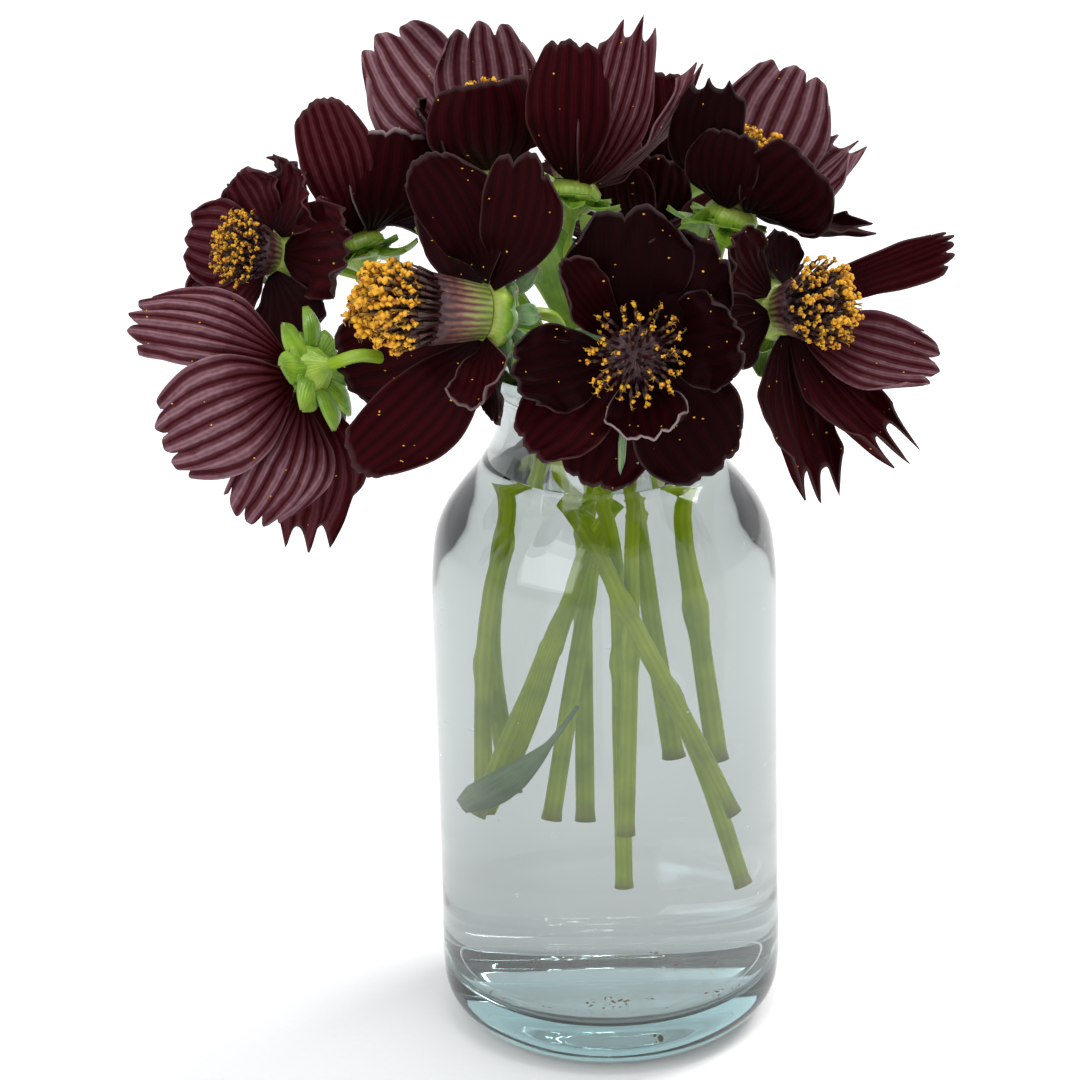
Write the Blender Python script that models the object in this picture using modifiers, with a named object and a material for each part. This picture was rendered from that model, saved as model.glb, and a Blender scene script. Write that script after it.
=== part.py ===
"""A bunch of chocolate cosmos flowers standing in a water-filled glass bottle. Metres, +Z up, base centre at the origin."""

import math

import bmesh
import bpy
from mathutils import Vector

MM = 0.001

# Bottle, from the foot up, as radius and height in mm.
BODY_R = 32.5
WALL = 2.3
FLOOR_Z = 9.0
NECK_R = 19.5
LIP_R = 21.0
MOUTH_R = 17.2
HEIGHT = 134.0
OUTSIDE = [
    (23.2, 0), (26.8, 0.8), (29.8, 2.9), (31.8, 5.9), (BODY_R, 9.3), (BODY_R, 50), (BODY_R, 88), (32.2, 94),
    (31.3, 100), (29.6, 104), (26.8, 108), (23.6, 112), (21.2, 116), (19.8, 119.5), (NECK_R, 122), (NECK_R, 128),
    (20.4, 129.3), (LIP_R, 131), (20.6, 133), (19.4, HEIGHT),
]
INSIDE = [
    (18.0, 133.7), (MOUTH_R, 132.2), (MOUTH_R, 121), (18.2, 117), (20.4, 113.2), (23.7, 109.2), (26.7, 105),
    (28.6, 101), (29.6, 97), (30.1, 91), (BODY_R - WALL, 87), (BODY_R - WALL, 50), (BODY_R - WALL, 15),
    (28.6, 11.2), (25.2, FLOOR_Z + 0.3), (21.0, FLOOR_Z),
]
TURNS = 32
WATER_TOP = 113.5
GAP = 0.3

# Petals: thin sheets that share a ring.
SHEET = 0.45
PETAL_ROWS = 4
STEM_R = 1.2
STEM_SIDES = 7

# Each flower: where its receptacle rim is centred, where it faces (round from the front, up from level), the rim's
# radius, the disc (collar height, full height, radius), and its petals as (turn, opening, length, width, bow).
# Turn is clockwise from the top as the flower is looked in the face. Opening is the angle away from its axis.
FLOWERS = {
    "front": ((6, -40, 149), (2, 20), 5.0, (3.5, 9.5, 8.2), [
        (-4, 60, 23, 18, 1), (38, 66, 20, 16, 1), (81, 60, 17, 15, 1), (144, 92, 20, 18, 1), (172, 50, 15, 13, 1),
        (-158, 100, 20, 15, 1), (-130, 88, 21, 13, 1), (-100, 74, 18, 13, 1), (-42, 52, 20, 10, 1)]),
    "left_front": ((-20, -34, 155), (-68, 12), 6.0, (9.5, 20.5, 9.6), [
        (-10, 58, 25, 12.5, 2), (15, 88, 26, 12.5, 2), (-176, 56, 31, 12, 2), (-108, 52, 27, 13, 2), (140, 76, 14, 9, 1),
        (168, 104, 15, 10, 1), (-60, 84, 24, 13, 2)]),
    "right_front": ((33, -16, 148), (48, 18), 5.5, (4.5, 14.0, 9.6), [
        (85, 50, 29, 10, 2), (136, 54, 25, 14, 2), (164, 68, 28, 13, 2), (-168, 84, 27, 16, 2), (-34, 84, 14, 11, 1),
        (26, 100, 10, 10, 1), (-90, 84, 16, 12, 1)]),
    "upper_left": ((-19, 17, 167), (-20, 80), 5.0, (4.5, 14.0, 7.5), [
        (-75, 48, 27, 18, 2), (-22, 28, 25, 17, 2), (165, 18, 21, 19, 3), (34, 52, 20, 14, 2), (-125, 34, 15, 14, 2)]),
    "upper_right": ((25, 1, 162), (110, 68), 5.0, (4.5, 14.0, 7.5), [
        (0, 25, 21, 12, 2), (-35, 25, 15, 11, 2), (-108, 40, 17, 17, 2), (-158, 80, 20, 14, 1), (120, 22, 28, 20, 2),
        (172, 45, 22, 17, 2)]),
    "far_left": ((-60, 6, 153), (-55, 22), 5.0, (3.5, 10.5, 7.8), [
        (-150, 66, 16, 15, 1), (-45, 70, 13, 14, 1), (12, 86, 12, 13, 1), (140, 92, 15, 12, 1), (-98, 60, 15, 15, 1),
        (70, 88, 17, 14, 1)]),
    "lower_left": ((-54, -20, 139), (-110, -22), 5.0, (3.5, 9.0, 7.0), [
        (30, 50, 28, 14, 3), (88, 46, 26, 18, 3), (146, 62, 23, 15, 3), (178, 66, 28, 14, 3), (-130, 70, 22, 15, 3)]),
    "top": ((-4, 4, 166), (160, 64), 5.0, (3.5, 10.0, 7.0), [
        (-8, 34, 27, 14, 3), (-46, 28, 30, 14, 3), (-104, 34, 28, 12, 3), (-158, 40, 16, 12, 2)]),
    "back_centre": ((7, 30, 146), (175, 50), 5.0, (3.5, 9.0, 6.5), [
        (12, 62, 17, 14, 2), (-20, 56, 17, 14, 2), (-70, 70, 20, 15, 2), (120, 72, 24, 16, 2), (60, 70, 20, 15, 2)]),
    "left_top": ((-45, 12, 154), (-140, 60), 5.0, (3.5, 9.0, 6.5), [
        (23, 26, 26, 14, 3), (-20, 44, 19, 18, 3), (-80, 66, 20, 14, 2), (-150, 70, 22, 15, 2), (160, 68, 15, 13, 2)]),
    "back": ((12, 50, 150), (180, 30), 5.0, (3.5, 9.0, 6.5), [
        (0, 72, 22, 15, 2), (52, 70, 22, 15, 2), (103, 72, 22, 15, 2), (154, 70, 22, 15, 2), (-154, 72, 22, 15, 2),
        (-103, 70, 22, 15, 2), (-52, 72, 22, 15, 2)]),
}

# Each stem from its cut end up to the neck, in mm. It then runs on to its own flower.
STEMS = {
    "front": [(2.5, -9, 43.5), (4, -9, 88), (5, -10.5, 110), (6, -13.5, 134)],
    "left_front": [(2, -2, 30), (2, -4, 62), (1.5, -5.5, 96), (-5.5, -14, 134)],
    "right_front": [(-20, -5, 45), (-4.5, -1.5, 88), (3, -3.5, 108), (14.5, -6, 134)],
    "upper_left": [(-12, 9, 46), (-14, 10, 80), (-10, 13.5, 108), (-6.5, 13.5, 134)],
    "upper_right": [(-8, -1, 44), (-2, 2, 88), (3, 3, 108), (10, 3, 134)],
    "far_left": [(-17, 3, 43), (-15.5, 5, 80), (-12, 7.5, 108), (-12.5, 9, 134), (-34, 14.5, 142)],
    "lower_left": [(20, -9, 46), (5, -12, 86), (-6, -9, 108), (-14.5, -5, 134), (-34, -14, 138.5)],
    "top": [(-3, 7, 41), (-2.5, 10.5, 88), (-1.5, 11, 108), (-1, 7, 134)],
    "back_centre": [(8, 12, 52), (5.5, 10, 84), (3.5, 8.5, 108), (3, 9, 134)],
    "left_top": [(18, 4, 25.5), (10, 5, 62), (-4, 6, 102), (-14.5, 1.5, 134)],
    "back": [(14, 7, 52), (11, 9, 88), (10, 11, 108), (11, 11.5, 134), (14.5, 28, 140)],
}

COLOURS = {
    "glass": (0.62, 0.76, 0.78),
    "water": (0.80, 0.88, 0.88),
    "petal": (0.045, 0.006, 0.012),
    "disc": (0.42, 0.19, 0.02),
    "calyx": (0.18, 0.30, 0.05),
    "stem": (0.28, 0.42, 0.08),
}


def material(name, roughness, transmission=0.0):
    made = bpy.data.materials.new(name)
    made.use_nodes = True
    shader = made.node_tree.nodes["Principled BSDF"]
    shader.inputs["Base Color"].default_value = (*COLOURS[name], 1)
    shader.inputs["Roughness"].default_value = roughness
    shader.inputs["Transmission Weight"].default_value = transmission
    return made


def add(name, points, faces, look):
    mesh = bpy.data.meshes.new(name)
    mesh.from_pydata([Vector(point) * MM for point in points], [], faces)
    mesh.materials.append(look)
    made = bpy.data.objects.new(name, mesh)
    bpy.context.collection.objects.link(made)
    return made


def turned(name, profile, look):
    """A solid of revolution about Z from a profile of (radius, height) that starts and ends on the axis."""
    points = [(radius, 0, height) for radius, height in profile]
    made = add(name, points, [], look)
    mesh = made.data
    mesh.clear_geometry()
    edges = [(i, i + 1) for i in range(len(points) - 1)]
    mesh.from_pydata([Vector(point) * MM for point in points], edges, [])
    screw = made.modifiers.new("turn", "SCREW")
    screw.steps = screw.render_steps = TURNS
    screw.use_merge_vertices = True
    screw.merge_threshold = 0.00001
    screw.use_smooth_shade = True
    return made


def facing(round_deg, up_deg):
    """The flower's own axes: out of its face, to its right and to its top."""
    a, e = math.radians(round_deg), math.radians(up_deg)
    out = Vector((math.cos(e) * math.sin(a), -math.cos(e) * math.cos(a), math.sin(e)))
    right = Vector((math.cos(a), math.sin(a), 0))
    return out, right, out.cross(right)


def half_width(s, width):
    """Narrow at the claw, widest two thirds of the way out, blunt at the tip."""
    claw = 0.16
    swell = math.sin(math.pi * min(1.0, s / 1.36)) ** 0.9
    return 0.5 * width * (claw * (1 - s) + swell)


def petal_rows(at, axes, rim, petal, along):
    """Rows of three points along one petal, from its claw to its tip."""
    out, right, up = axes
    turn, opening, length, width, bow = petal
    t, o = math.radians(turn), math.radians(opening)
    across_face = up * math.cos(t) + right * math.sin(t)
    side = out.cross(across_face)
    chord = out * math.cos(o) + across_face * math.sin(o)
    inner = chord.cross(side)
    rows = []
    for i in range(1, along + 1):
        s = i / along
        middle = at + across_face * rim + chord * length * s - inner * bow * 4 * s * (1 - s)
        half = half_width(s, width)
        dish = 0.10 * width * s
        short = -0.09 * length * s if i == along else 0
        for k in (-1, 0, 1):
            rows.append(middle + side * half * k + inner * dish * abs(k) + chord * short * abs(k))
    return rows


def whorl(name, at, axes, inner, rim, petals, along, look):
    """One sheet: a narrow ring with every petal grown from its edge, made solid."""
    out, right, up = axes
    petals = sorted(petals)
    half_claw = min(14, 0.36 * min((b[0] - a[0]) % 360 for a, b in zip(petals, petals[1:] + petals[:1])))
    turns = []
    for petal in petals:
        turns += [petal[0] + half_claw * k for k in (-1, 0, 1)]
    points, faces = [], []
    for radius in (inner, rim):
        for turn in turns:
            t = math.radians(turn)
            points.append(at + (up * math.cos(t) + right * math.sin(t)) * radius)
    count = len(turns)
    for i in range(count):
        j = (i + 1) % count
        faces.append((i, j, count + j, count + i))
    for n, petal in enumerate(petals):
        last = [count + 3 * n + k for k in range(3)]
        start = len(points)
        points += petal_rows(at, axes, rim, petal, along)
        for i in range(along):
            here = [start + 3 * i + k for k in range(3)]
            faces += [(last[0], last[1], here[1], here[0]), (last[1], last[2], here[2], here[1])]
            last = here
    made = add(name, points, faces, look)
    thick = made.modifiers.new("thickness", "SOLIDIFY")
    thick.thickness = SHEET * MM
    thick.offset = 0
    return made


def spun(name, at, axes, profile, sides, look):
    """A closed solid of rings about the flower's axis, from (height, radius) pairs."""
    out, right, up = axes
    points, faces = [], []
    for height, radius in profile:
        for k in range(sides):
            t = 2 * math.pi * k / sides
            points.append(at + out * height + (up * math.cos(t) + right * math.sin(t)) * radius)
    for i in range(len(profile) - 1):
        for k in range(sides):
            j = (k + 1) % sides
            faces.append((i * sides + k, i * sides + j, (i + 1) * sides + j, (i + 1) * sides + k))
    top = len(points) - sides
    faces += [tuple(range(sides)), tuple(reversed(range(top, top + sides)))]
    made = add(name, points, faces, look)
    tidy(made)
    return made


def tidy(made):
    work = bmesh.new()
    work.from_mesh(made.data)
    bmesh.ops.remove_doubles(work, verts=work.verts, dist=0.000001)
    bmesh.ops.recalc_face_normals(work, faces=work.faces)
    work.to_mesh(made.data)
    work.free()


def tube(name, path, radius, look):
    """A smooth round stem through the points of the path."""
    curve = bpy.data.curves.new(name, "CURVE")
    curve.dimensions = "3D"
    curve.bevel_depth = radius * MM
    curve.bevel_resolution = (STEM_SIDES - 3) // 2
    curve.use_fill_caps = True
    curve.resolution_u = 2
    spline = curve.splines.new("BEZIER")
    spline.bezier_points.add(len(path) - 1)
    for knot, place in zip(spline.bezier_points, path):
        knot.co = Vector(place) * MM
        knot.handle_left_type = knot.handle_right_type = "AUTO"
    curve.materials.append(look)
    made = bpy.data.objects.new(name, curve)
    bpy.context.collection.objects.link(made)
    return made


def stem_path(name):
    at, faces_to, _, _, _ = FLOWERS[name]
    out = facing(*faces_to)[0]
    foot = Vector(at) - out * 6.9
    return [Vector(place) for place in STEMS[name]] + [foot - out * 6, foot]


def clear_channels(water, names, helpers):
    """Cuts a channel a little wider than each stem, so that no stem touches the water's solid."""
    for name in names:
        channel = tube("channel_" + name, stem_path(name), STEM_R + GAP, water.data.materials[0])
        low = Vector(STEMS[name][0]) - Vector(STEMS[name][1])
        channel.data.splines[0].bezier_points[0].co += low.normalized() * GAP * MM
        bpy.context.view_layer.update()
        graph = bpy.context.evaluated_depsgraph_get()
        mesh = bpy.data.meshes.new_from_object(channel.evaluated_get(graph))
        cutter = bpy.data.objects.new("cut_" + name, mesh)
        bpy.data.objects.remove(channel)
        tidy(cutter)
        helpers.objects.link(cutter)
        cutter.hide_render = True
        cutter.display_type = "WIRE"
        cut = water.modifiers.new("cut_" + name, "BOOLEAN")
        cut.operation = "DIFFERENCE"
        cut.solver = "EXACT"
        cut.object = cutter


def build():
    for made in list(bpy.data.objects):
        bpy.data.objects.remove(made)
    looks = {
        "glass": material("glass", 0.02, 1.0),
        "water": material("water", 0.0, 1.0),
        "petal": material("petal", 0.75),
        "disc": material("disc", 0.7),
        "calyx": material("calyx", 0.5),
        "stem": material("stem", 0.4),
    }
    helpers = bpy.data.collections.new("cutters")
    bpy.context.scene.collection.children.link(helpers)
    helpers.hide_render = True

    turned("bottle", [(0, FLOOR_Z)] + INSIDE[::-1] + OUTSIDE[::-1] + [(0, 0)], looks["glass"])
    wet = [(r - GAP, z if z > 20 else z + GAP) for r, z in INSIDE[::-1] if z < WATER_TOP]
    water = turned("water", [(0, WATER_TOP), (20.0 - GAP, WATER_TOP)] + wet[::-1] + [(0, FLOOR_Z + GAP)], looks["water"])

    for name, flower in FLOWERS.items():
        at, faces_to, rim, disc, petals = flower
        axes = facing(*faces_to)
        centre = Vector(at)
        collar, height, wide = disc
        whorl(name + "_petals", centre, axes, rim - 1.3, rim, petals, PETAL_ROWS, looks["petal"])
        low = rim - 0.6
        spun(name + "_disc", centre, axes, [
            (0.6, low - 0.6), (collar, low + 0.3), (collar + 0.45 * (height - collar), wide),
            (height - 0.18 * (height - collar), 0.72 * wide), (height, 0.3 * wide)], 10, looks["disc"])
        spun(name + "_calyx", centre, axes, [
            (-0.6, rim - 0.8), (-2.2, rim), (-4.4, 0.75 * rim), (-6.6, STEM_R + 0.2)], 10, looks["calyx"])
        tube(name + "_stem", stem_path(name), STEM_R, looks["stem"])
    clear_channels(water, STEMS, helpers)


build()
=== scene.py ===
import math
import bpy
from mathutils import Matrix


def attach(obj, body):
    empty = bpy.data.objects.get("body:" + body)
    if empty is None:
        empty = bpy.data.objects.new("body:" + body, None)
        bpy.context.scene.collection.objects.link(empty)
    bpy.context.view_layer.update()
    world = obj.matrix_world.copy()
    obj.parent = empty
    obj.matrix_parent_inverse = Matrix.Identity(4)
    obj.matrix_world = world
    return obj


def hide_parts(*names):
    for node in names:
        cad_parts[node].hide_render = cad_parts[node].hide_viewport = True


bl_info = {
    "name": "Chocolate cosmos in a bottle",
    "version": (1, 0, 0),
    "blender": (4, 5, 0),
    "location": "3D View > Sidebar > Cosmos",
    "description": "Builds a bunch of dark cosmos flowers standing in a glass bottle of water",
    "category": "Object",
}

import bmesh
import bpy
import numpy as np
from bpy.props import FloatProperty, FloatVectorProperty, IntProperty, PointerProperty
from mathutils import Matrix, Vector

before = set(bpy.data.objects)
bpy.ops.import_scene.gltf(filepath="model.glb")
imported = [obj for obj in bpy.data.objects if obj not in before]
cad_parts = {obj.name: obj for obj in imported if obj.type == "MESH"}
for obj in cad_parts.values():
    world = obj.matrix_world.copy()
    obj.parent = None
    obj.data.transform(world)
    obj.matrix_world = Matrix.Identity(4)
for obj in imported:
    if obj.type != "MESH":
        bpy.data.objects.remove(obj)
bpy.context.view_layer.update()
BODY = "root"
MM = 0.001
VIEW = np.array([0.015, -0.924, 0.383])

# Each flower: centre of its receptacle rim, the way it faces (round from the front, up from level), rim radius,
# disc (collar height, full height, radius), share of florets still in bud, and its petals. A petal is
# (turn, opening, length, width, bow, sheen, more): sheen is painted sheen, from near-black maroon at 0 for a
# petal in shade to mauve with lighter ridges at 1 for a petal that catches the light.
FLOWERS = {
    "front": ((6, -40, 149), (2, 20), 5.0, (3.5, 10.5, 9.6), 0.10, [
        (-4, 60, 24, 22, 1, 0.03, {"teeth": 0.10, "lobes": 1.0, "shift": 0.45, "ruffle": 1.0}),
        (38, 66, 20.5, 18, 1, 0.03, {"ruffle": 1.1}),
        (81, 60, 17.5, 17, 1, 0.05, {"ruffle": 1.5, "curl": 2.0}),
        (144, 92, 21, 20, 1, 0.06, {"ruffle": 0.9}),
        (172, 52, 15.5, 14, 1, 0.12, {"curl": 2.5, "ruffle": 0.8, "pale_edge": 1.0}),
        (-158, 100, 20.5, 17, 1, 0.16, {"ruffle": 0.9}),
        (-130, 88, 21, 15, 1, 0.22, {"ruffle": 0.8, "twist": 14}),
        (-100, 74, 18, 15, 1, 0.06, {"ruffle": 1.2}),
        (-42, 52, 21, 9, 1, 0.15, {"cup": 0.34, "twist": 20, "curl": 1.0})]),
    "left_front": ((-20, -34, 155), (-68, 12), 6.0, (9.5, 24.0, 10.2), 0.06, [
        (-10, 58, 25.5, 14.5, 2, 0.12, {"pleat": 0.3, "face": 0.8, "teeth": 0.02}),
        (15, 88, 27, 14, 2, 0.14, {"pleat": 0.25, "teeth": 0.12, "lobes": 1.0, "face": 0.85}),
        (-176, 56, 31.5, 15.5, 2, 0.24, {"pleat": 0.15, "face": 0.9, "teeth": 0.02, "cup": 0.12}),
        (-128, 60, 30, 19, 2, 0.16, {"teeth": 0.03, "face": 1.0, "cup": 0.05}),
        (140, 76, 14.5, 10, 1, 0.25, {"cup": 0.35, "curl": 1.5, "face": 0.5, "pale_edge": 0.4}),
        (168, 104, 15, 10, 1, 0.05, {}),
        (-60, 84, 24, 15, 2, 0.10, {"face": 0.8})]),
    "right_front": ((33, -16, 148), (48, 18), 5.5, (4.5, 14.0, 9.6), 0.05, [
        (85, 50, 30, 8.5, 2, 0.30, {"cup": 0.42, "curl": -2.0, "teeth": 0.09, "lobes": 2.5, "twist": 12, "blunt": 1.0}),
        (136, 54, 26, 15, 2, 0.85, {"pleat": 0.6, "teeth": 0.12}),
        (164, 68, 28, 13, 2, 0.30, {"sharp": 0.30, "pleat": 0.5}),
        (-168, 84, 28, 17, 2, 0.20, {"sharp": 0.24, "pleat": 0.35}),
        (-34, 84, 14, 12, 1, 0.15, {"ruffle": 0.8}),
        (26, 100, 10, 10, 1, 0.05, {}),
        (-90, 84, 16, 13, 1, 0.05, {})]),
    "upper_left": ((-19, 17, 167), (-20, 80), 5.0, (4.5, 14.0, 7.5), 0.10, [
        (-75, 48, 28, 24, 2, 1.00, {"pleat": 0.45, "teeth": 0.12, "lobes": 1.5, "face": 0.4}),
        (-22, 28, 23, 19, 2, 0.95, {"pleat": 0.45, "teeth": 0.16, "lobes": 1.5}),
        (165, 18, 22, 20, 3, 0.20, {"cup": 0.16, "pleat": 0.5, "teeth": 0.0, "lobes": 1.0, "face": 0.7}),
        (34, 52, 20, 14, 2, 0.60, {}),
        (-125, 34, 16, 16, 2, 0.05, {"pleat": 0.5})]),
    "upper_right": ((25, 1, 162), (110, 68), 5.0, (4.5, 14.0, 7.5), 0.10, [
        (0, 25, 22, 14, 2, 0.04, {"sharp": 0.10, "face": 0.6}),
        (-35, 25, 15.5, 13, 2, 0.08, {"face": 0.7}),
        (-108, 40, 17.5, 18.5, 2, 0.10, {"pleat": 0.5, "face": 0.8, "teeth": 0.03}),
        (-158, 80, 20.5, 15, 1, 0.12, {"sharp": 0.20}),
        (120, 22, 28, 21, 2, 1.00, {"pleat": 0.5, "teeth": 0.10, "lobes": 1.5}),
        (172, 45, 22.5, 18, 2, 0.90, {"pleat": 0.5, "sharp": 0.16})]),
    "far_left": ((-60, 6, 153), (-55, 22), 5.0, (3.5, 10.5, 7.8), 0.0, [
        (-150, 66, 16, 16, 1, 0.60, {"ruffle": 0.8}),
        (-45, 70, 13, 15, 1, 0.45, {"ruffle": 1.0}),
        (12, 86, 14, 17, 1, 0.35, {"ruffle": 1.8, "curl": 1.5}),
        (140, 92, 21, 17, 1, 0.10, {"ruffle": 1.6, "face": 0.4}),
        (-98, 60, 15, 16, 1, 0.60, {"ruffle": 0.8}),
        (70, 88, 20, 18, 1, 0.22, {"ruffle": 2.0, "face": 0.3})]),
    "lower_left": ((-54, -20, 139), (-110, -22), 5.0, (3.5, 9.0, 7.0), 0.1, [
        (30, 50, 28.5, 15.5, 3, 0.92, {"pleat": 0.75, "teeth": 0.10, "lobes": 2.0, "face": 0.3}),
        (88, 46, 26, 20.5, 3, 0.96, {"pleat": 0.85, "teeth": 0.09, "lobes": 2.0, "face": 0.3}),
        (146, 62, 24, 17, 3, 0.90, {"pleat": 0.8, "teeth": 0.14, "lobes": 2.0, "face": 0.6}),
        (178, 66, 28.5, 16, 3, 0.50, {"pleat": 0.3, "sharp": 0.2, "face": 0.8}),
        (-130, 70, 22, 15, 3, 0.15, {})]),
    "top": ((-4, 4, 166), (160, 64), 5.0, (3.5, 10.0, 7.0), 0.1, [
        (-8, 34, 27.5, 15, 3, 0.26, {"pleat": 0.45, "lobes": 1.5}),
        (-46, 28, 31, 14, 3, 0.75, {"pleat": 0.45, "sharp": 0.14}),
        (-104, 34, 28, 12, 3, 0.80, {"sharp": 0.12}),
        (-158, 40, 16, 12, 2, 0.60, {})]),
    "back_centre": ((7, 30, 146), (175, 50), 5.0, (3.5, 9.0, 6.5), 0.1, [
        (12, 62, 17, 14, 2, 0.12, {"pleat": 0.6}), (-20, 56, 17, 14, 2, 0.12, {"pleat": 0.6}),
        (-70, 70, 20, 15, 2, 0.3, {}), (120, 72, 24, 16, 2, 0.4, {}), (60, 70, 20, 15, 2, 0.3, {})]),
    "left_top": ((-45, 12, 154), (-140, 60), 5.0, (3.5, 9.0, 6.5), 0.1, [
        (23, 26, 26.5, 14, 3, 0.45, {"pleat": 0.3, "teeth": 0.02}),
        (-20, 44, 20, 19, 3, 0.16, {"pale_edge": 0.9, "face": 0.5}),
        (-80, 66, 21, 18, 2, 0.12, {"face": 1.0, "teeth": 0.02, "pale_edge": 0.5}), (-150, 70, 22, 15, 2, 0.3, {}), (160, 68, 15, 13, 2, 0.3, {})]),
    "back": ((12, 50, 150), (180, 30), 5.0, (3.5, 9.0, 6.5), 0.2, [
        (0, 72, 22, 16, 2, 0.3, {}), (52, 70, 22, 16, 2, 0.5, {"pleat": 0.5}), (103, 72, 22, 16, 2, 0.2, {}),
        (154, 70, 22, 16, 2, 0.1, {}), (-154, 72, 22, 16, 2, 0.2, {}), (-103, 70, 22, 16, 2, 0.4, {"pleat": 0.5}),
        (-52, 72, 22, 16, 2, 0.6, {"pleat": 0.5})]),
}

# Each stem from its cut end up to the neck, in millimetres. It then runs on to its own flower.
STEMS = {
    "front": [(2.5, -9, 43.5), (4, -9, 88), (5, -10.5, 110), (6, -13.5, 134)],
    "left_front": [(2, -2, 30), (2, -4, 62), (1.5, -5.5, 96), (-5.5, -14, 134)],
    "right_front": [(-20, -5, 45), (-4.5, -1.5, 88), (3, -3.5, 108), (14.5, -6, 134)],
    "upper_left": [(-12, 9, 46), (-14, 10, 80), (-10, 13.5, 108), (-6.5, 13.5, 134)],
    "upper_right": [(-8, -1, 44), (-2, 2, 88), (3, 3, 108), (10, 3, 134)],
    "far_left": [(-17, 3, 43), (-15.5, 5, 80), (-12, 7.5, 108), (-12.5, 9, 134), (-34, 14.5, 142)],
    "lower_left": [(20, -9, 46), (5, -12, 86), (-6, -9, 108), (-14.5, -5, 134), (-34, -14, 138.5)],
    "top": [(-3, 7, 41), (-2.5, 10.5, 88), (-1.5, 11, 108), (-1, 7, 134)],
    "back_centre": [(8, 12, 52), (5.5, 10, 84), (3.5, 8.5, 108), (3, 9, 134)],
    "left_top": [(18, 4, 25.5), (10, 5, 62), (-4, 6, 102), (-14.5, 1.5, 134)],
    "back": [(14, 7, 52), (11, 9, 88), (10, 11, 108), (11, 11.5, 134), (14.5, 28, 140)],
}

# Small leaves that fill the middle of the bunch: points along each, half widths and the way that it lies.
FOLIAGE = [
    ([(-2, 2, 134), (-5, 0, 145), (-8, -3, 156), (-12, -5, 163)], [1.2, 3.6, 4.8, 3.2, 0.4], (0.8, 0.3, 0.5)),
    ([(4, 4, 134), (3, 1, 146), (1, -3, 157), (-3, -5, 163)], [1.2, 3.6, 5.2, 3.4, 0.4], (1, 0.1, 0.2)),
    ([(8, 4, 134), (13, 2, 146), (17, -2, 157), (20, -5, 164)], [1.0, 3.0, 4.0, 2.6, 0.3], (0.8, 0.2, -0.5)),
    ([(-9, 5, 134), (-18, 4, 145), (-27, 2, 155), (-33, -1, 160)], [1.0, 3.2, 4.6, 3.2, 0.4], (0.5, 0.2, 0.8)),
    ([(-12, 0, 132), (-22, -4, 140), (-31, -8, 148), (-37, -11, 156)], [0.8, 2.0, 2.6, 2.0, 0.4], (0.5, 0.2, 0.8)),
    ([(12, 0, 133), (20, -3, 140), (26, -7, 147), (29, -10, 153)], [0.8, 1.8, 2.2, 1.4, 0.3], (-0.5, 0.2, 0.8)),
    ([(0, -6, 132), (-7, -14, 139), (-13, -21, 145), (-19, -27, 149)], [0.8, 1.8, 2.2, 1.6, 0.3], (0.4, 0.3, 0.8))]

# Florets on the discs that differ from the rest.
FLORETS = {"front": 64, "left_front": 130}
# How much shorter the outermost florets are than those in the middle.
TAPERS = {"front": 0.0, "left_front": 0.46, "right_front": 0.24}

# Outer bracts of a flower: length, width and opening away from its face.
BRACTS = {
    "left_front": (7.5, 3.0, 108), "front": (8.6, 3.2, 112), "lower_left": (8.0, 5.0, 92), "other": (8.0, 4.0, 104)}

# Bottle profile from the foot up, outside and then inside, as radius and height in millimetres.
OUTSIDE = [
    (23.2, 0), (26.8, 0.8), (29.8, 2.9), (31.8, 5.9), (32.5, 9.3), (32.5, 30), (32.5, 60), (32.5, 88), (32.2, 94),
    (31.3, 100), (29.6, 104), (26.8, 108), (23.6, 112), (21.2, 116), (19.8, 119.5), (19.5, 122), (19.5, 128),
    (20.4, 129.3), (21.0, 131), (20.6, 133), (19.4, 134)]
INSIDE = [
    (18.0, 133.7), (17.2, 132.2), (17.2, 121), (18.2, 117), (20.4, 113.2), (23.7, 109.2), (26.7, 105),
    (28.6, 101), (29.6, 97), (30.1, 91), (30.2, 87), (30.2, 60), (30.2, 30), (30.2, 15), (28.6, 11.2),
    (25.2, 9.3), (21.0, 9.0)]


# ---------------------------------------------------------------- shader helpers


def put(tree, kind, links=None, values=None, **settings):
    """Adds a node, with its settings, socket values and incoming links."""
    node = tree.nodes.new(kind)
    for key, value in settings.items():
        setattr(node, key, value)
    for key, value in (values or {}).items():
        node.inputs[key].default_value = value
    for key, socket in (links or {}).items():
        tree.links.new(socket, node.inputs[key])
    return node


def new_material(name):
    made = bpy.data.materials.new(name)
    made.use_nodes = True
    tree = made.node_tree
    return made, tree, tree.nodes["Principled BSDF"]


def group(name, inputs, outputs):
    """A shader node group with its sockets: (name, type, default)."""
    tree = bpy.data.node_groups.new(name, "ShaderNodeTree")
    for label, kind, value in inputs:
        socket = tree.interface.new_socket(label, in_out="INPUT", socket_type=kind)
        if value is not None:
            socket.default_value = value
    for label, kind in outputs:
        tree.interface.new_socket(label, in_out="OUTPUT", socket_type=kind)
    return tree, tree.nodes.new("NodeGroupInput"), tree.nodes.new("NodeGroupOutput")


def calc(tree, operation, a, b=None, c=None):
    node = tree.nodes.new("ShaderNodeMath")
    node.operation = operation
    for i, value in enumerate((a, b, c)):
        if value is None:
            continue
        if isinstance(value, (int, float)):
            node.inputs[i].default_value = value
        else:
            tree.links.new(value, node.inputs[i])
    return node.outputs[0]


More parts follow.
